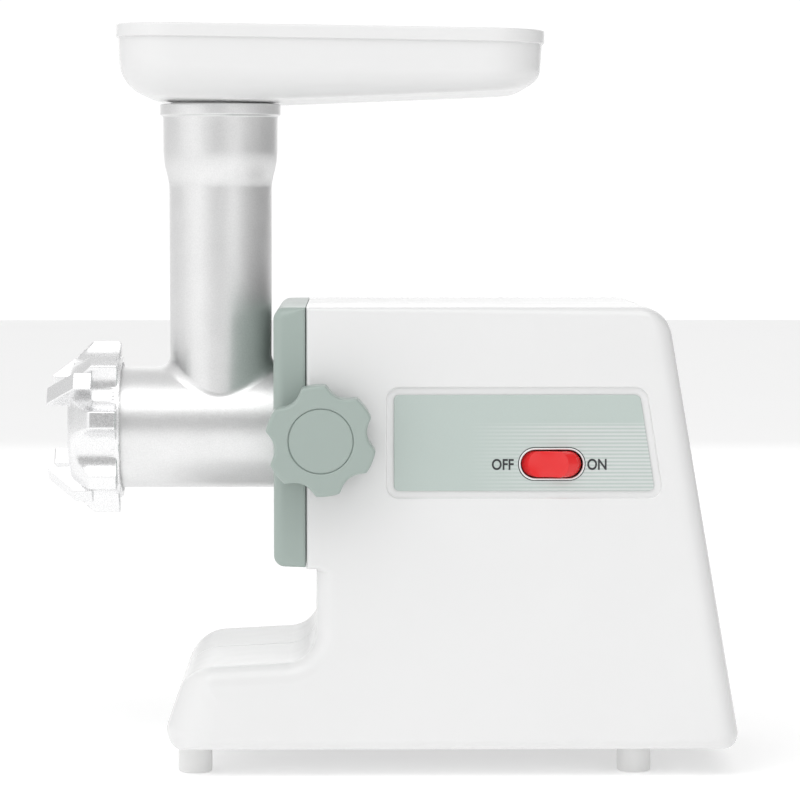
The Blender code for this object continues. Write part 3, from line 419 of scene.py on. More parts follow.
def cast_metal(name, colour, roughness, grain, depth, blotch=0.06):
    """Sand-blasted cast aluminium: a fine pitted grain, cloudier and brighter by patches."""
    nodes = Nodes(name)
    speck = nodes.noise(grain, 3.0, 0.7)
    cloud = nodes.noise(60.0, 4.0, 0.6)
    shade = nodes.math("ADD", nodes.math("MULTIPLY", speck, 0.7), nodes.math("MULTIPLY", cloud, 0.3))
    nodes.colour(nodes.mixed(
        nodes.ranged(shade, 0.0, 1.0, 0.35, 0.65), tinted(colour, 1 - blotch), tinted(colour, 1 + blotch)
    ))
    nodes.set(
        rough=nodes.ranged(nodes.noise(grain * 0.6, 3.0), roughness * 0.85, roughness * 1.2), metal=1.0
    )
    nodes.bump(speck, 0.5, depth)
    return nodes.material


def machined_steel(name, colour, roughness, stretch=(1, 1, 1)):
    """Turned or ground steel with fine directional lines."""
    nodes = Nodes(name)
    lines = nodes.noise(260.0, 3.0, 0.6, stretch)
    nodes.colour(nodes.mixed(nodes.ranged(lines, 0.0, 1.0), tinted(colour, 0.93), tinted(colour, 1.05)))
    nodes.set(rough=nodes.ranged(lines, roughness * 0.8, roughness * 1.25), metal=1.0)
    nodes.bump(lines, 0.2, 0.00002)
    return nodes.material


def wound_copper(name):
    """Enamelled wire: fine ribs and a warm lacquer."""
    nodes = Nodes(name)
    wires = nodes.noise(900.0, 1.0, 0.4, (0.05, 1, 1))
    nodes.colour(nodes.mixed(nodes.ranged(wires, 0.0, 1.0), (0.42, 0.16, 0.07), (0.72, 0.36, 0.18)))
    nodes.set(rough=nodes.ranged(wires, 0.25, 0.45), metal=0.9)
    nodes.bump(wires, 0.6, 0.0002)
    return nodes.material


WHITE = (0.79, 0.79, 0.79)
GREEN = (0.355, 0.42, 0.39)
PLATE_GREEN = (0.485, 0.555, 0.525)

PAINT = {
    "white_plastic": moulded_plastic("gloss_white_plastic", WHITE, 0.2),
    "green_plastic": moulded_plastic("satin_green_plastic", GREEN, 0.3, 1500.0, 0.00003, 0.2),
    "plate_green": moulded_plastic("plate_green_plastic", PLATE_GREEN, 0.4),
    "red_plastic": moulded_plastic("gloss_red_plastic", (0.76, 0.02, 0.022), 0.16),
    "dark_plastic": moulded_plastic(
        "dark_glass_filled_plastic", (0.045, 0.046, 0.05), 0.5, 700.0, 0.0001, 0.4
    ),
    "cast_aluminium": cast_metal("blasted_cast_aluminium", (0.80, 0.80, 0.80), 0.34, 1500.0, 0.00012),
    "steel": machined_steel("machined_steel", (0.56, 0.56, 0.57), 0.28, (0.1, 1, 1)),
    "copper": wound_copper("enamelled_copper"),
    "nylon": moulded_plastic("natural_nylon", (0.78, 0.75, 0.66), 0.42),
    "rubber": moulded_plastic("white_rubber", (0.79, 0.79, 0.785), 0.55, 1200.0, 0.00006, 0.4),
}


def printed_plate(name):
    """The nameplate: matt green, with bright lines over the lower right that fade in from the left."""
    nodes = Nodes(name)
    split = nodes.add("ShaderNodeSeparateXYZ")
    nodes.link(nodes.place, split.inputs[0])
    phase = nodes.math("MULTIPLY", split.outputs["Z"], 1 / 0.00176)
    wave = nodes.math("SINE", nodes.math("MULTIPLY", phase, 2 * math.pi))
    line = nodes.ranged(wave, 0.0, 1.0, -0.35, 0.25)
    across = nodes.ranged(split.outputs["X"], 0.0, 1.0, 0.055, 0.105)
    below = nodes.ranged(split.outputs["Z"], 1.0, 0.0, 0.1705, 0.1715)
    share = nodes.math("MULTIPLY", nodes.math("MULTIPLY", line, across), below)
    fleck = nodes.ranged(nodes.noise(2500.0, 2.0), 0.0, 1.0)
    ground = nodes.mixed(fleck, tinted(PLATE_GREEN, 0.985), tinted(PLATE_GREEN, 1.015))
    nodes.colour(nodes.mixed(share, ground, (0.66, 0.69, 0.68)))
    nodes.set(rough=nodes.ranged(share, 0.42, 0.3, 0.0, 1.0), metal=nodes.ranged(share, 0.0, 0.35, 0.0, 1.0))
    nodes.bump(nodes.noise(1800.0, 2.0), 0.1, 0.00002)
    return nodes.material


PLATE_PRINT = printed_plate("printed_plate")
INK = moulded_plastic("label_ink", (0.03, 0.032, 0.035), 0.5)
TURNED_STEEL = machined_steel("ground_plate_steel", (0.60, 0.60, 0.61), 0.22, (1, 1, 0.12))
POLISHED_CASTING = cast_metal("tumbled_cast_aluminium", (0.86, 0.86, 0.865), 0.27, 1100.0, 0.00006, 0.035)


def dressed(obj, body, slot, node=(), material=None):
    """Gives a piece its material (its slot's paint unless another is given), puts it on its body and hides
    the CAD nodes that it stands for.
    """
    flat_shaded(obj)
    obj.data.materials.clear()
    obj.data.materials.append(material or PAINT[slot])
    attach(obj, body)
    if node:
        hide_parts(*((node,) if isinstance(node, str) else node))
    return obj


def paint_cad_nodes():
    """Every CAD node that stays in view takes the procedural material of its slot."""
    for entry in frame["record"]["subparts"]:
        obj = frame["nodes"][entry["node"]]
        obj.data.materials.clear()
        obj.data.materials.append(PAINT[entry["material_slot"]])


# ---------------------------------------------------------------- light, floor and camera


def area_light(name, at, aim, size, energy, colour=(1, 1, 1)):
    data = bpy.data.lights.new(name, "AREA")
    data.shape = "RECTANGLE"
    data.size, data.size_y = size
    data.energy = energy
    data.color = colour
    obj = bpy.data.objects.new(name, data)
    bpy.context.scene.collection.objects.link(obj)
    obj.location = at
    obj.rotation_euler = (Vector(aim) - Vector(at)).to_track_quat("-Z", "Y").to_euler()
    return obj


# Brightness of the studio's walls by bearing, in degrees from straight behind the camera towards +X.
WALLS = (
    (-179, 0.8), (-128, 0.75), (-85, 0.95), (-45, 1.25), (-20, 0.62), (0, 0.42), (14, 0.62), (30, 1.1),
    (44, 0.7), (62, 0.36), (100, 0.18), (128, 0.22), (155, 0.55), (179, 0.8),
)


def studio():
    """A white surround with soft boxes over, beside and in front of the machine."""
    scene = bpy.context.scene
    scene.view_settings.view_transform = "Standard"
    scene.view_settings.look = "None"
    world = bpy.data.worlds.new("studio")
    scene.world = world
    world.use_nodes = True
    tree = world.node_tree
    background = tree.nodes["Background"]
    background.inputs["Color"].default_value = (1.0, 1.0, 1.0, 1.0)
    around = tree.nodes.new("ShaderNodeTexGradient")
    around.gradient_type = "RADIAL"
    tree.links.new(tree.nodes.new("ShaderNodeTexCoord").outputs["Generated"], around.inputs[0])
    ramp = tree.nodes.new("ShaderNodeValToRGB")
    tree.links.new(around.outputs["Fac"], ramp.inputs[0])
    tree.links.new(ramp.outputs["Color"], background.inputs["Color"])
    stops = sorted((((degrees - 90) / 360 + 0.5) % 1.0, level) for degrees, level in WALLS)
    while len(ramp.color_ramp.elements) < len(stops):
        ramp.color_ramp.elements.new(0.5)
    for element, (place, level) in zip(ramp.color_ramp.elements, stops):
        element.position = place
        element.color = (level, level, level, 1.0)
    background.inputs["Strength"].default_value = 1.0
    seen = tree.nodes.new("ShaderNodeBackground")
    seen.inputs["Color"].default_value = (1.0, 1.0, 1.0, 1.0)
    seen.inputs["Strength"].default_value = 1.05
    path = tree.nodes.new("ShaderNodeLightPath")
    mix = tree.nodes.new("ShaderNodeMixShader")
    tree.links.new(path.outputs["Is Camera Ray"], mix.inputs[0])
    tree.links.new(background.outputs[0], mix.inputs[1])
    tree.links.new(seen.outputs[0], mix.inputs[2])
    tree.links.new(mix.outputs[0], tree.nodes["World Output"].inputs[0])
    area_light("top_softbox", (0.0, -1.0, 1.7), (0.0, 0.0, 0.15), (2.4, 1.4), 14)
    area_light("back_softbox", (0.0, 1.9, 0.9), (0.0, 0.0, 0.2), (2.6, 1.4), 5)


def floor():
    bm = bmesh.new()
    bmesh.ops.create_grid(bm, x_segments=2, y_segments=2, size=6000)
    plane = finish_mesh(bm, "floor")
    nodes = Nodes("pale_floor")
    nodes.colour(nodes.mixed(nodes.noise(3.0, 2.0), (0.89, 0.89, 0.89), (0.91, 0.91, 0.91)))
    nodes.set(rough=0.8)
    nodes.shader.inputs["Emission Color"].default_value = (1.0, 1.0, 1.0, 1.0)
    nodes.shader.inputs["Emission Strength"].default_value = 0.28
    plane.data.materials.append(nodes.material)


def camera():
    """A long lens, a little above the grinding axis and level with the housing's side."""
    data = bpy.data.cameras.new("camera")
    data.sensor_width = 36.0
    data.lens = 157.5
    data.clip_start = 0.1
    data.clip_end = 30.0
    obj = bpy.data.objects.new("camera", data)
    bpy.context.scene.collection.objects.link(obj)
    obj.location = SHIFT + Vector((0.0, -1.75, 0.281))
    obj.rotation_euler = (math.radians(90 - 3.385), 0.0, math.radians(-0.786))
    bpy.context.scene.camera = obj


# ---------------------------------------------------------------- housing


def housing_profile():
    """The casings' side outline, clockwise seen from -Y; the third value is the side edge's radius."""
    return rounded(
        [
            (SEAM_X, COLLAR_BOTTOM_Z - 1.0, 0.0, 2.0),
            (SEAM_X, TOP_Z, 0.0, 2.0),
            (60.0, TOP_Z, 0.0, 3.5),
            (TOP_BACK_X, TOP_Z, 16.0, 5.5),
            (BOTTOM_BACK_X, BOTTOM_Z, 7.0, 5.0),
            (-93.3, BOTTOM_Z, 8.0, 5.0),
            (-79.9, 52.7, 20.0, 9.0),
            (NECK_X, 56.0, 15.0, 9.0),
            (NECK_X + 0.4, COLLAR_BOTTOM_Z - 2.6, 0.0, 9.0),
            (NECK_X + 0.4, COLLAR_BOTTOM_Z - 1.0, 0.0, 2.0),
        ]
    )


def upright_radius(x, inward_x, level_radius):
    """The housing's upright edges are rounder than its level ones, most of all at the front of the base."""
    if inward_x > 0 and x < -50.0:
        return BASE_FRONT_ROUND
    if inward_x < 0:
        return BACK_ROUND
    return level_radius


def chamfered_seam(profile, sign, chamfer=0.3):
    """The two rings that end a half shell at the middle plane."""
    normals = inward_normals(profile)
    low = [
        (a + n.x * chamfer, sign * GAP / 2, b + n.y * chamfer) for (a, b, _tag), n in zip(profile, normals)
    ]
    return [low, [(a, sign * (GAP / 2 + chamfer), b) for a, b, _tag in profile]]


def casing(name, sign):
    """One half of the housing: a moulded shell, chamfered where it meets its twin."""
    profile = housing_profile()
    outer = side_rings(profile, HALF_WIDTH, sign, upright=upright_radius)
    shell = skinned(name, chamfered_seam(profile, sign) + outer)
    inner = side_rings(profile, HALF_WIDTH, sign, inset=WALL, steps=5, upright=upright_radius)
    past_seam = [(x, -sign * 5.0, z) for x, _y, z in inner[0]]
    cut(shell, skinned("hollow", [past_seam, *inner]))
    add_bosses(shell, sign)
    return cut(
        shell,
        box("base_opening", (-84.0, -72.0, 8.0), (178.0, 72.0, BOTTOM_Z + WALL + 1.0)),
        turned("socket_opening", [(-30, 0), (-30, 46), (-15, 46), (-15, 0)], 64, at=(0, 0, AXIS_Z)),
        vent_panel("vent_opening", GAP, -1.0, 6.0),
    )


def add_bosses(shell, sign):
    """Posts for the four casing screws, counterbored on the plain side."""
    for x, z in ((68.0, 208.0), (134.0, 208.0), (-52.0, 32.0), (160.0, 33.0)):
        post = [(sign * GAP / 2, 0), (sign * GAP / 2, 5.5), (sign * (HALF_WIDTH - 1), 5.5),
                (sign * (HALF_WIDTH - 1), 0)]
        join(shell, turned("boss", post, 32, at=(x, 0, z), turn=ALONG_Y))
        bore = [(-16.0, 0), (-16.0, 1.9), (1.0, 1.9), (1.0, 0)]
        if sign > 0:
            bore = [(-1, 0), (-1, 1.9), (12.6, 1.9), (12.6, 4.0), (HALF_WIDTH - 0.5, 4.0),
                    (HALF_WIDTH + 0.5, 5.0), (HALF_WIDTH + 2, 5.0), (HALF_WIDTH + 2, 0)]
        cut(shell, turned("boss_bore", bore, 24, at=(x, 0, z), turn=ALONG_Y))


PLATE_CORNERS = (
    (20.0, 138.7, 2.5, 0), (20.0, 184.7, 2.5, 0), (137.7, 184.7, 3.0, 0), (144.9, 138.7, 2.5, 0),
)
RECESS_EDGE = 3.6
RECESS_DEPTH = 1.3
FLOOR_Y = -(HALF_WIDTH - RECESS_DEPTH)
SWITCH_HOLE = (32.4, 16.2)


def grown(corners, amount):
    points = rounded(list(corners))
    normals = inward_normals(points)
    return [(a - n.x * amount, b - n.y * amount) for (a, b, _t), n in zip(points, normals)]


def recess_cutter():
    """Cuts the nameplate's recess: round in its floor corner and round over its rim."""
    levels = []
    for angle in (0, 22.5, 45, 67.5, 90):
        t = math.radians(angle)
        levels.append((RECESS_EDGE - 0.5 + 0.5 * math.sin(t), FLOOR_Y - 0.5 + 0.5 * math.cos(t)))
    for angle in (0, 22.5, 45, 67.5, 90):
        t = math.radians(angle)
        levels.append((RECESS_EDGE + 0.7 * (1 - math.cos(t)), -HALF_WIDTH + 0.7 * (1 - math.sin(t))))
    levels.append((RECESS_EDGE + 0.7, -HALF_WIDTH - 2.0))
    rings = [[(a, y, b) for a, b in grown(PLATE_CORNERS, out)] for out, y in levels]
    return skinned("plate_recess", rings)


def switch_side_casing():
    shell = casing("shell_switch_side", -1)
    switch_hole = shifted(pill(*SWITCH_HOLE), SWITCH_X, SWITCH_Z)
    backing = grown(PLATE_CORNERS, RECESS_EDGE + 1.5)
    join(shell, extruded("plate_backing", backing, FLOOR_Y + 0.1, -76.5, "XZ"))
    cut(
        shell,
        recess_cutter(),
        extruded("switch_hole", switch_hole, -HALF_WIDTH - 3, -70.0, "XZ"),
        turned(
            "knob_hole", [(-HALF_WIDTH - 2, 0), (-HALF_WIDTH - 2, 7.1), (-HALF_WIDTH, 7.1),
                          (-HALF_WIDTH + 0.6, 6.5), (-74, 6.5), (-74, 0)], 48,
            at=(KNOB_X, 0, AXIS_Z), turn=ALONG_Y,
        ),
    )
    return dressed(shell, "housing", "white_plastic", "switch_side_casing")


def plain_side_casing():
    shell = casing("shell_plain_side", 1)
    cut(shell, turned(
        "gland_hole", [(-8, 0), (-8, 7.4), (6, 7.4), (6, 0)], 48,
        at=(back_x(GLAND_Z), GLAND_Y, GLAND_Z), turn=(0, -BACK_LEAN, 0),
    ))
    return dressed(shell, "housing", "white_plastic", "plain_side_casing")


def front_collar():
    """The green frame round the head's socket."""
    profile = rounded(
        [
            (COLLAR_FRONT_X, COLLAR_BOTTOM_Z, 5.4, 5.0),
            (COLLAR_FRONT_X, TOP_Z, 6.0, 5.0),
            (SEAM_X - GAP, TOP_Z, 0.0, 1.5),
            (SEAM_X - GAP, COLLAR_BOTTOM_Z, 0.0, 1.5),
        ]
    )
    right = side_rings(profile, HALF_WIDTH, -1)
    left = side_rings(profile, HALF_WIDTH, 1)
    collar = skinned("collar", right[::-1] + left)
    mouth = [(-50, 0), (-50, 31.0), (COLLAR_FRONT_X, 31.0), (COLLAR_FRONT_X + 0.35, 30.15),
             (COLLAR_FRONT_X + 1.2, 29.8), (-10, 29.8), (-10, 0)]
    cut(collar, turned("collar_bore", mouth, 96, at=(0, 0, AXIS_Z)))
    dressed(collar, "housing", "green_plastic", "front_collar")


def back_x(z):
    return TOP_BACK_X + (TOP_Z - z) * math.tan(BACK_LEAN)


VENT_Z = 170.8
GLAND_Y = 38.0
GLAND_Z = 36.0


def vent_outline(grow):
    width = 36.0 + grow
    height = 20.6 + grow
    corners = [(-width, -height, 3, 0), (-width, height, 3, 0), (width, height, 3, 0), (width, -height, 3, 0)]
    return plain(rounded(corners, 6))


def vent_panel(name, grow, outside, inside):
    return extruded(
        name, vent_outline(grow), -inside, -outside, "YZ", at=(back_x(VENT_Z), 0, VENT_Z),
        turn=(0, -BACK_LEAN, 0),
    )


def rear_vent_grille():
    """Ten slots in a panel with a rounded rim."""
    here = {"at": (back_x(VENT_Z), 0, VENT_Z), "turn": (0, -BACK_LEAN, 0)}
    levels = [(-WALL, 0.0), (0.2, 0.0), (0.45, 0.06), (0.65, 0.22), (0.76, 0.4), (0.8, 0.6)]
    rings = [[(x, a, b) for a, b in vent_outline(-inset)] for x, inset in levels]
    grille = skinned("vent_grille", rings, **here)
    slots = []
    for row in range(5):
        for side in (-1, 1):
            rings = []
            for x, grow in ((-4, 0), (0.3, 0), (0.5, 0.08), (0.7, 0.3), (0.8, 0.5), (4, 0.5)):
                outline = shifted(pill(30.0 + 2 * grow, 3.0 + 2 * grow, 10), side * 17.0, -13.6 + 6.8 * row)
                rings.append([(x, a, b) for a, b in outline])
            slots.append(skinned("slot", rings, **here))
    cut(grille, *slots)
    dressed(grille, "housing", "white_plastic", "rear_vent_grille")


def cord_gland():
    profile = [(-7.0, 3.7), (-7.0, 7.0), (0.5, 7.0), (0.5, 8.8), (0.65, 9.0), (0.9, 8.95), (1.4, 8.5),
               (1.62, 7.6), (1.7, 6.0), (1.7, 4.3), (1.5, 3.85), (1.1, 3.7)]
    gland = turned(
        "gland", profile, 64, at=(back_x(GLAND_Z), GLAND_Y, GLAND_Z), turn=(0, -BACK_LEAN, 0)
    )
    dressed(gland, "housing", "white_plastic", "cord_gland")


def feet():
    top = BOTTOM_Z - GAP
    profile = [(0.0, 4.1), (0.0, 7.0), (0.1, 7.45), (0.4, 7.85), (0.85, 8.1), (1.4, 8.2), (top, 8.2),
               (top, 2.0), (6.0, 2.0), (6.0, 3.9), (0.2, 3.9)]
    for x, end in ((-76.3, "front"), (137.1, "back")):
        for y, side in ((-58.0, "right"), (58.0, "left")):
            foot = turned(f"foot_{end}_{side}", profile, 64, at=(x, y, 0), turn=ALONG_Z)
            dressed(foot, "housing", "rubber", f"{end}_{side}_foot")


# ---------------------------------------------------------------- nameplate and switch


def nameplate():
    """The plate, round over its front edge, with the switch's hole."""
    back = FLOOR_Y - GAP
    levels = [(0.0, back), (0.0, back - 0.4), (0.05, back - 0.55), (0.18, back - 0.66), (0.4, back - 0.7)]
    rings = [[(a, y, b) for a, b in grown(PLATE_CORNERS, -inset)] for inset, y in levels]
    plate = skinned("name_plate", rings)
    hole = shifted(pill(*SWITCH_HOLE), SWITCH_X, SWITCH_Z)
    cut(plate, extruded("plate_switch_hole", hole, -90, -70, "XZ"))
    dressed(plate, "housing", "plate_green", "nameplate", material=PLATE_PRINT)
    for name, word, x in (("label_off", "OFF", 72.0), ("label_on", "ON", 117.2)):
        label(name, word, x, back - 0.7)


LABEL_SIZE = 7.2
LABEL_WIDTH = 0.84  # the letters are narrower than the font's
LABEL_DROP = 0.5


def label(name, word, x, y):
    """A printed word, a skin of ink on the plate."""
    data = bpy.data.curves.new(name, "FONT")
    data.body = word
    data.size = LABEL_SIZE * MM
    data.align_x = "CENTER"
    data.align_y = "CENTER"
    data.extrude = 0.05 * MM
    data.offset = 0.16 * MM
    data.resolution_u = 8
    curve = bpy.data.objects.new(name + "_curve", data)
    bpy.context.scene.collection.objects.link(curve)
    mesh = bpy.data.meshes.new_from_object(curve.evaluated_get(bpy.context.evaluated_depsgraph_get()))
    bpy.data.objects.remove(curve)
    upright = Matrix.Rotation(math.pi / 2, 4, "X")
    narrowed = Matrix.Scale(LABEL_WIDTH, 4, Vector((1, 0, 0)))
    place = Vector((x, y - 0.04, SWITCH_Z - LABEL_DROP)) * MM
    mesh.transform(Matrix.Translation(place) @ upright @ narrowed)
    obj = bpy.data.objects.new(name, mesh)
    bpy.context.scene.collection.objects.link(obj)
    obj.location = SHIFT
    dressed(obj, "housing", "dark_plastic", material=INK)


PIVOT_Y = -77.0
ROCKER_HALF_LENGTH = 13.6
ROCKER_HALF_HEIGHT = 6.2
ROCKER_FACE = 8.2
ROCKER_DIP = 1.1
ROCKER_TILT = math.radians(-12)


def switch():
    levels = [(0.0, -76.0), (0.0, -82.05), (0.1, -82.25), (0.3, -82.38), (0.45, -82.4), (0.6, -82.38),
              (0.8, -82.25), (0.9, -82.05), (0.9, -76.0)]
    rings = []
    for inset, y in levels:
        outline = shifted(pill(31.6 - 2 * inset, 15.4 - 2 * inset, 24), SWITCH_X, SWITCH_Z)
        rings.append([(a, y, b) for a, b in outline])
    dressed(skinned("bezel", rings, closed=True), "housing", "white_plastic", "switch_bezel")
    rocker()


def rocker():
    """A dished face on a round-ended skirt whose ends are arcs about the pin."""
    levels = 32
    panel = HALF_WIDTH + PIVOT_Y
    rings = []
    for i in range(levels + 1):
        turn = math.pi * i / levels
        height = -ROCKER_HALF_HEIGHT * math.cos(turn)
        bulge = max(math.sin(turn), 0.04)
        reach = ROCKER_HALF_LENGTH - ROCKER_HALF_HEIGHT * (1.0 - bulge)
        face = 5.0 + 4.6 * bulge
        lift = 0.45 * (1 - bulge) ** 2
        radius = math.hypot(reach, panel)
        edge = math.degrees(math.asin(panel / radius))
        ring = []
        for step in range(17):
            x = face * (1 - step / 8)
            dip = ROCKER_DIP * (1 - (x / face) ** 2)
            ring.append((x, dip + lift - ROCKER_FACE))
        ring += list(arc((0, 0), radius, 180 + edge, 180, 6))
        ring += [(-radius * 0.85, 4.0), (0.0, 7.0), (radius * 0.85, 4.0)]
        ring += list(arc((0, 0), radius, 0, -edge, 6))
        rings.append([(x, y, height) for x, y in ring])
    body = skinned("rocker", rings, at=(SWITCH_X, PIVOT_Y, SWITCH_Z), turn=(0, 0, ROCKER_TILT), sharp=28)
    dressed(body, "rocker", "red_plastic", "switch_rocker")


# ---------------------------------------------------------------- lobed pieces


def soft_min(a, b, blend):
    """The smaller of two lengths, rounded over where they are close."""
    near = max(blend - abs(a - b), 0.0) / blend
    return min(a, b) - near * near * blend / 4


def scallops(radius, hollow_r, hollow_centre, count, first, blend):
    """The reach of a lobed outline at an angle in degrees; first is the middle of a hollow."""

    def reach(angle):
        pitch = 360 / count
        off = math.radians((angle - first + pitch / 2) % pitch - pitch / 2)
        inside = hollow_r**2 - (hollow_centre * math.sin(off)) ** 2
        if inside <= 0:
            return radius
        return soft_min(radius, hollow_centre * math.cos(off) - math.sqrt(inside), blend)

    return reach


def lobed(name, levels, radius_at, steps, at, turn=(0, 0, 0)):
    """A skin over levels along local X; radius_at(level, degrees) gives its reach."""
    rings = []
    for level in levels:
        ring = []
        for i in range(steps):
            angle = 360 * i / steps
            r = radius_at(level, angle)
            ring.append((level[0], -r * math.cos(math.radians(angle)), r * math.sin(math.radians(angle))))
        rings.append(ring)
    return skinned(name, rings, at, turn)


def clamp_knob():
    """Six lobes, round over both rims, with a round cap let into the face."""
    here = {"at": (KNOB_X, 0, AXIS_Z), "turn": ALONG_Y}
    reach = scallops(KNOB_R, 9.8, 31.9, 6, 67.5, 3.0)
    face = KNOB_FACE_Y
    back = KNOB_FACE_Y + 19.0
    levels = []
    for angle in (0, 15, 30, 45, 60, 75, 90):
        t = math.radians(angle)
        levels.append((face + 1.7 * (1 - math.sin(t)), 1.7 * (1 - math.cos(t))))
    levels = levels[::-1]
    levels += [(back - (along - face) * 0.7, inset * 0.7) for along, inset in levels[::-1]]
    levels.insert(0, (face, 2.2))

    def radius(level, angle):
        return reach(angle + 180) - level[1]

    knob = lobed("knob", levels, radius, 240, here["at"], (0, 0, math.pi / 2))
    neck = [(face + 8, 0), (face + 8, 11.0), (-HALF_WIDTH - 0.8, 11.0), (-HALF_WIDTH - 0.8, 0)]
    seat = [(face - 2, 0), (face - 2, 16.3), (face, 16.3), (face + 0.08, 15.95), (face + 0.3, 15.65),
            (face + 0.65, 15.45), (face + 1.0, 15.4), (face + 2.4, 15.4), (face + 2.4, 0)]
    stem = [(-97.0, 0), (-97.0, 4.35), (-80.0, 4.35), (-80.0, 0)]
    join(knob, turned("knob_neck", neck, 64, **here))
    cut(knob, turned("cap_seat", seat, 96, **here), turned("stem_seat", stem, 48, **here))
    dressed(knob, "knob", "green_plastic", "clamp_knob")
    cap = [(face + 0.35, 0), (face + 0.35, 14.3), (face + 0.42, 14.7), (face + 0.6, 15.05),
           (face + 0.85, 15.28), (face + 1.1, 15.34), (face + 2.05, 15.34), (face + 2.05, 0)]
    dressed(turned("cap", cap, 96, **here), "knob", "green_plastic", "knob_cap")


# ---------------------------------------------------------------- grinding head


def feed_fillet():
    """The rounded corner between feed tube and barrel: a ball of radius JOIN_R rolled round the joint."""
    tube_r = TUBE_R - 0.2
    rings = []
    for i in range(96):
        theta = 2 * math.pi * i / 96
        out = tube_r + JOIN_R
        x = out * math.cos(theta)
        y = out * math.sin(theta)
        z = math.sqrt((BARREL_R + JOIN_R) ** 2 - y * y)
        centre = Vector((x, y, z))
        to_tube = Vector((-math.cos(theta), -math.sin(theta), 0.0))
        to_barrel = Vector((0.0, -y, -z)).normalized()
        ring = []
        for step in range(9):
            aim = to_tube.slerp(to_barrel, step / 8)
            ring.append(tuple(centre + aim * (JOIN_R + (0.03 if step in (0, 8) else 0.0))))
        deep = centre + to_barrel * (JOIN_R + 3.0) + to_tube * 1.0
        inner = centre + to_tube * (JOIN_R + 2.0)
        ring += [tuple(deep), (inner.x * 0.98, inner.y * 0.98, deep.z), tuple(inner)]
        rings.append(ring)
    return skinned("fillet", rings, at=(TUBE_X, 0, AXIS_Z), closed=True)


def head_casting():
    """Barrel with its thread, feed tube with its flared mouth, and spigot."""

    def barrel_radius(level, angle):
        along, radius = level
        if radius < THREAD_R - 0.01 or not -134.6 < along < -117.6:
            return radius
        turn = ((along + 4.0 * angle / 360) / 4.0) % 1.0
        return radius - 1.1 * (0.5 - 0.5 * math.cos(2 * math.pi * turn)) ** 1.4

    levels = [(BARREL_FRONT_X, THREAD_R - 0.9), (BARREL_FRONT_X + 0.9, THREAD_R)]
    levels += [(BARREL_FRONT_X + 1.2 + 0.4 * i, THREAD_R) for i in range(44)]
    levels += [(-117.0, THREAD_R), (-115.9, BARREL_R + 0.3), (-115.3, BARREL_R + 0.05), (-114.6, BARREL_R)]
    end = COLLAR_FRONT_X - 0.4
    levels += [(end - 1.0, BARREL_R), (end - 0.3, BARREL_R - 0.25), (end, BARREL_R - 0.9), (end, SPIGOT_R),
               (SPIGOT_END_X - 0.8, SPIGOT_R), (SPIGOT_END_X, SPIGOT_R - 0.8)]
    head = lobed("head", levels, barrel_radius, 128, (0, 0, AXIS_Z))
    tube = [
        (AXIS_Z + 5, 0), (AXIS_Z + 5, TUBE_R - 0.3), (283.5, TUBE_R), (285.2, 25.62), (287.0, 25.85),
        (289.5, 26.35), (293.0, 27.25), (296.0, 27.85), (299.0, 28.22), (302.0, 28.4), (318.2, 28.55),
        (318.9, 28.7), (319.25, 29.1), (319.4, 29.5), (319.65, 29.85), (320.1, 30.0), (324.2, 30.0),
        (324.7, 29.88), (325.0, 29.6), (TUBE_TOP_Z, 29.2), (TUBE_TOP_Z, 0),
    ]
    join(head, turned("feed_tube", tube, 128, at=(TUBE_X, 0, 0), turn=ALONG_Z), feed_fillet())
    bore = [
        (-150, 0), (-150, PLATE_R + GAP), (-124.0, PLATE_R + GAP), (-124.0, 25.2), (-42.0, 25.2),
        (-42.0, 13.0), (-30.0, 13.0), (-30.0, 17.0), (10, 17.0), (10, 0),
    ]
    feed = [(AXIS_Z, 0), (AXIS_Z, 22.5), (290.0, 22.5), (292.0, 22.9), (296.5, 25.0), (298.0, 25.4),
            (324.4, 25.4), (TUBE_TOP_Z, 26.1), (340, 26.1), (340, 0)]
    pin_x = (BARREL_FRONT_X + PLATE_BACK_X) / 2
    cut(
        head,
        turned("barrel_bore", bore, 96, at=(0, 0, AXIS_Z)),
        turned("feed_bore", feed, 96, at=(TUBE_X, 0, 0), turn=ALONG_Z),
        box("keyway", (KNOB_X - 5.2, -30, AXIS_Z - 4.2), (10, -SPIGOT_R + 3.2, AXIS_Z + 4.2)),
        turned(
            "pin_bore", [(24.4, 0), (24.4, 1.5), (33, 1.5), (33, 0)], 24,
            at=(pin_x, 0, AXIS_Z), turn=ALONG_Z,
        ),
    )
    dressed(head, "head", "cast_aluminium", "head_casting")


def grinding_plate():
    disc = [(PLATE_FRONT_X, 0), (PLATE_FRONT_X, PLATE_R - 0.4), (PLATE_FRONT_X + 0.4, PLATE_R),
            (PLATE_BACK_X - 0.4, PLATE_R), (PLATE_BACK_X, PLATE_R - 0.4), (PLATE_BACK_X, 0)]
    plate = turned("plate", disc, 96, at=(0, 0, AXIS_Z))
    front = PLATE_FRONT_X
    tools = []
    for ring_r, count in ((9.0, 6), (14.6, 12), (20.2, 18)):
        for i in range(count):
            angle = 2 * math.pi * i / count
            hole = [(-150, 0), (-150, 2.6), (front, 2.6), (front + 0.3, 2.3), (-120, 2.3), (-120, 0)]
            where = (0, ring_r * math.cos(angle), AXIS_Z + ring_r * math.sin(angle))
            tools.append(turned("hole", hole, 24, at=where))
    nose = [(-150, 0), (-150, 4.8), (front, 4.8), (front + 0.4, 4.4), (-120, 4.4), (-120, 0)]
    tools.append(turned("nose_hole", nose, 48, at=(0, 0, AXIS_Z)))
    tools.append(box("notch", (-150, -1.7, AXIS_Z + PLATE_R - 2.6), (-120, 1.7, AXIS_Z + PLATE_R + 3)))
    cut(plate, *tools)
    dressed(plate, "plate", "steel", "grinding_plate", material=TURNED_STEEL)


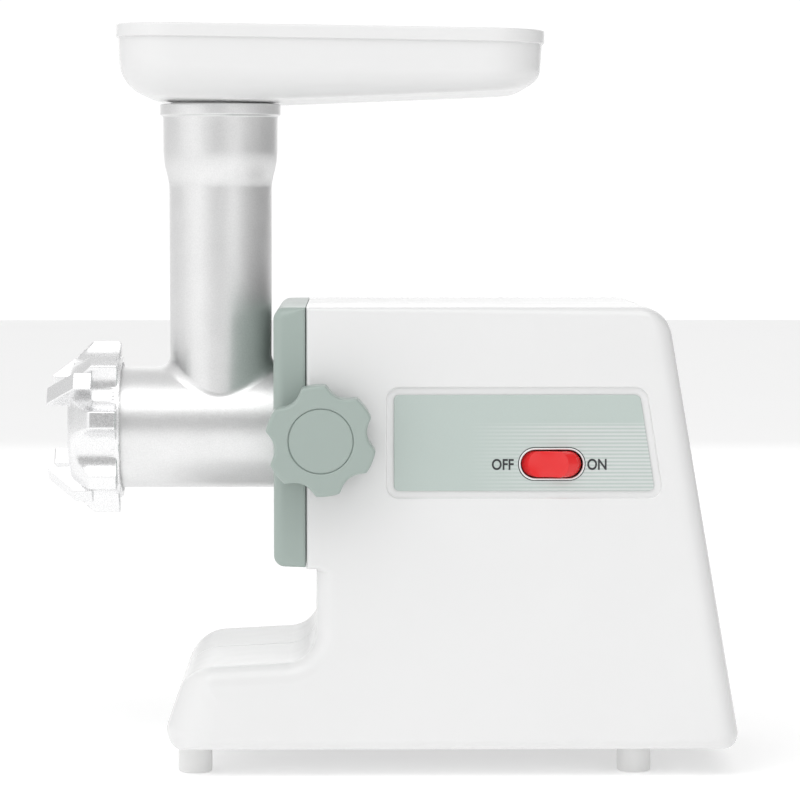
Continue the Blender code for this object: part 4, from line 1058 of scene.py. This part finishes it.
def auger():
    """Core, square nose, six-sided tail and one thick flight with round flanks."""
    core = [
        (-137.2, 0), (-137.2, 3.4), (-136.6, 4.0), (-132.4, 4.0), (-132.4, 4.9), (-125.7, 4.9), (-125.7, 9.0),
        (-125.2, 9.5), (-60.0, 12.0), (-46.0, 14.0), (-42.4, 14.0), (-42.4, 8.0), (-29.0, 8.0), (-29.0, 5.2),
        (-28.0, 5.2), (-28.0, 0),
    ]
    screw = turned("feed_screw", core, 64, at=(0, 0, AXIS_Z))
    square = box("square", (-132.3, -5.0, AXIS_Z - 5.0), (-124.0, 5.0, AXIS_Z + 5.0))
    tail = extruded("tail", list(arc((0, 0), 6.35, 0, 300, 5)), -30.0, -4.5, "YZ", at=(0, 0, AXIS_Z))
    turns = 3.25
    per_turn = 64
    rings = []
    for i in range(int(turns * per_turn) + 1):
        share = i / (turns * per_turn)
        angle = 2 * math.pi * turns * share
        along = -53.0 - 70.0 * (share**0.85)
        section = [(along - 2.1, 8.0), (along - 1.5, 18.0), (along - 1.25, 24.0), (along - 0.9, 24.4),
                   (along + 0.9, 24.4), (along + 1.25, 24.0), (along + 1.5, 18.0), (along + 2.1, 8.0)]
        rings.append([(x, r * math.cos(angle), r * math.sin(angle)) for x, r in section])
    join(screw, square, tail, skinned("flight", rings, at=(0, 0, AXIS_Z)))
    dressed(screw, "screw", "cast_aluminium", "auger")


FIRST_EAR = 53.0
EAR_HALF = 4.9


def ring_ear(index):
    """A wedge that stands forward of the ring, with softened edges."""
    side = [(-128.0, 41.3), (-136.8, 41.3), (-149.9, 28.9), (-150.9, 27.6), (-150.4, 26.6), (-128.0, 25.8)]
    angle = math.radians(FIRST_EAR + 90 * index)
    ear = extruded(
        "ear", side, -EAR_HALF, EAR_HALF, "XZ", at=(0, 0, AXIS_Z), turn=(angle - math.pi / 2, 0, 0)
    )
    return softened(ear, 0.7, 3, 20)


def ring_nut():
    """Eight narrow crests with deep round flutes between them, a chamfered front, four ears and a lip."""
    reach = scallops(RING_R, 14.2, 48.5, 8, FIRST_EAR + 22.5, 0.7)
    back = RING_BACK_X - 1.1
    outline = [
        (RING_FRONT_X, 25.2), (RING_FRONT_X, 26.4), (-140.25, 28.2), (-139.95, 30.4), (-139.4, 31.9),
        (-138.8, 33.1), (-138.0, 34.2), (-136.0, 36.1), (-134.0, 38.0), (-132.0, 39.9), (-130.0, 41.8),
        (-129.2, 42.45), (-128.6, 42.8), (-127.8, RING_R), (-121.0, RING_R), (back - 0.8, RING_R),
        (back - 0.3, 42.8), (back, 42.3), (back, 41.6),
    ]

    def ring_radius(level, angle):
        drop = RING_R - level[1] if level[0] > -117.0 else 0.0
        return soft_min(level[1], reach(angle) - drop, 0.6)

    ring = lobed("ring", outline, ring_radius, 384, (0, 0, AXIS_Z))
    lip = [
        (-117.0, 0), (-117.0, 35.2), (RING_BACK_X - 0.4, 35.2), (RING_BACK_X - 0.1, 35.0),
        (RING_BACK_X, 34.6), (RING_BACK_X, 0),
    ]
    join(ring, turned("lip", lip, 96, at=(0, 0, AXIS_Z)), *[ring_ear(i) for i in range(4)])
    bore = [
        (-160, 0), (-160, 25.2), (RING_FRONT_X, 25.2), (RING_FRONT_X + 0.3, 24.6), (RING_FRONT_X + 0.9, 24.1),
        (RING_FRONT_X + 1.6, 24.0), (PLATE_FRONT_X - 0.3, 24.0), (PLATE_FRONT_X - 0.3, THREAD_R + GAP),
        (-100, THREAD_R + GAP), (-100, 0),
    ]
    cut(ring, turned("ring_bore", bore, 96, at=(0, 0, AXIS_Z)))
    dressed(ring, "ring", "cast_aluminium", "ring_nut", material=POLISHED_CASTING)


# ---------------------------------------------------------------- tray


FLOOR_RISE = 0.056  # the slope of the floor behind its fold
FLOOR_FOLD = 32.0
RISE_ENDS_Z = 24.0  # the slope has faded out of the wall by this height
FOLD_POINTS = (25, 76)  # the fold's places in the outline
RIM_HEIGHT = 6.4
RIM_STEP = 1.2
FRONT_BOTTOM_R = 19.0
BACK_BOTTOM_R = 14.0


def tray_outline():
    """The rim's outline about the feed tube's axis, with a point pair on the floor's fold."""
    front = TRAY_FRONT_X - TUBE_X
    back = TRAY_BACK_X - TUBE_X
    side = TRAY_HALF_WIDTH
    corners = [(front, side, 30.0, 0), (back, side, 30.0, 0), (back, -side, 30.0, 0), (front, -side, 30.0, 0)]
    points = plain(rounded(corners, 24))
    fold = [(FLOOR_FOLD, side), (FLOOR_FOLD, -side)]
    for place, point in zip(FOLD_POINTS, fold):
        points.insert(place, point)
    return points


def tray_skin(levels):
    """Rings of the tray from (inset, z, share of the bottom radius used) levels."""
    points = tray_outline()
    normals = inward_normals(points)
    front = TRAY_FRONT_X - TUBE_X
    back = TRAY_BACK_X - TUBE_X
    rings = []
    for inset, z, thick, angle in levels:
        ring = []
        for (x, y), normal in zip(points, normals):
            share = (x - front) / (back - front)
            radius = FRONT_BOTTOM_R + (BACK_BOTTOM_R - FRONT_BOTTOM_R) * share - thick
            into = inset
            up = z
            if angle is not None:
                into += radius * (1 - math.sin(angle))
                up += radius * (1 - math.cos(angle))
            rise = FLOOR_RISE * max(0.0, 1 - up / RISE_ENDS_Z) * max(x + normal.x * into - FLOOR_FOLD, 0.0)
            ring.append((x + normal.x * into, y + normal.y * into, up + rise))
        rings.append(ring)
    return rings


def food_tray():
    """A deep tray with a turned-out rim and a spigot that drops into the feed tube."""
    rim = TRAY_RIM_Z - TRAY_FLOOR_Z
    wall = RIM_STEP + 0.6
    turns = [math.pi / 2 * i / 12 for i in range(13)]
    levels = [(wall, 0.0, 0.0, t) for t in turns]
    levels += [
        (RIM_STEP, rim - RIM_HEIGHT - 0.5, 0, None), (RIM_STEP - 0.06, rim - RIM_HEIGHT - 0.15, 0, None),
        (RIM_STEP - 0.3, rim - RIM_HEIGHT, 0, None), (0.35, rim - RIM_HEIGHT, 0, None),
        (0.1, rim - RIM_HEIGHT + 0.12, 0, None), (0.0, rim - RIM_HEIGHT + 0.4, 0, None),
        (0.0, rim - 1.0, 0, None), (0.1, rim - 0.6, 0, None), (0.35, rim - 0.22, 0, None),
        (0.7, rim - 0.04, 0, None), (1.1, rim, 0, None), (2.2, rim, 0, None), (2.7, rim - 0.1, 0, None),
        (3.1, rim - 0.4, 0, None), (3.3, rim - 0.9, 0, None), (RIM_STEP + WALL, rim - RIM_HEIGHT, 0, None),
    ]
    levels += [(wall + WALL, WALL, WALL, t) for t in turns[::-1]]
    rings = tray_skin(levels)
    here = {"at": (TUBE_X, 0, TRAY_FLOOR_Z), "turn": (0, TRAY_LEAN, 0)}
    tray = split_floors(rings, here)
    upright = {"at": (TUBE_X, 0, TRAY_FLOOR_Z), "turn": (0, TRAY_LEAN - math.pi / 2, 0)}
    spigot = [(-22.0, 0), (-22.0, 23.9), (-21.7, 24.2), (-0.8, 24.6), (-0.2, 27.5), (1.5, 27.5), (1.5, 0)]
    drop = [
        (-30, 0), (-30, 22.3), (-22, 22.3), (-21.4, 22.0), (0, 22.2), (WALL - 0.9, 22.4),
        (WALL - 0.3, 22.8), (WALL, 23.6), (8, 24.0), (8, 0),
    ]
    join(tray, turned("tray_spigot", spigot, 96, **upright))
    cut(tray, turned("tray_drop", drop, 96, **upright))
    dressed(tray, "tray", "white_plastic", "food_tray")


def split_floors(rings, here):
    """Skins the tray with each floor split along its fold, so that both parts are flat."""
    bm = bmesh.new()
    rows = [[bm.verts.new(point) for point in ring] for ring in rings]
    for low, high in zip(rows, rows[1:]):
        for i in range(len(low)):
            j = (i + 1) % len(low)
            bm.faces.new((low[i], low[j], high[j], high[i]))
    first, second = FOLD_POINTS
    for row in (rows[0], rows[-1]):
        bm.faces.new(row[first:second + 1])
        bm.faces.new(row[second:] + row[:first + 1])
    return finish_mesh(bm, "tray", **here)


def build_pieces():
    switch_side_casing()
    plain_side_casing()
    front_collar()
    rear_vent_grille()
    cord_gland()
    feet()
    nameplate()
    switch()
    clamp_knob()
    head_casting()
    grinding_plate()
    auger()
    ring_nut()
    food_tray()


build_pieces()


paint_cad_nodes()
studio()
floor()
camera()
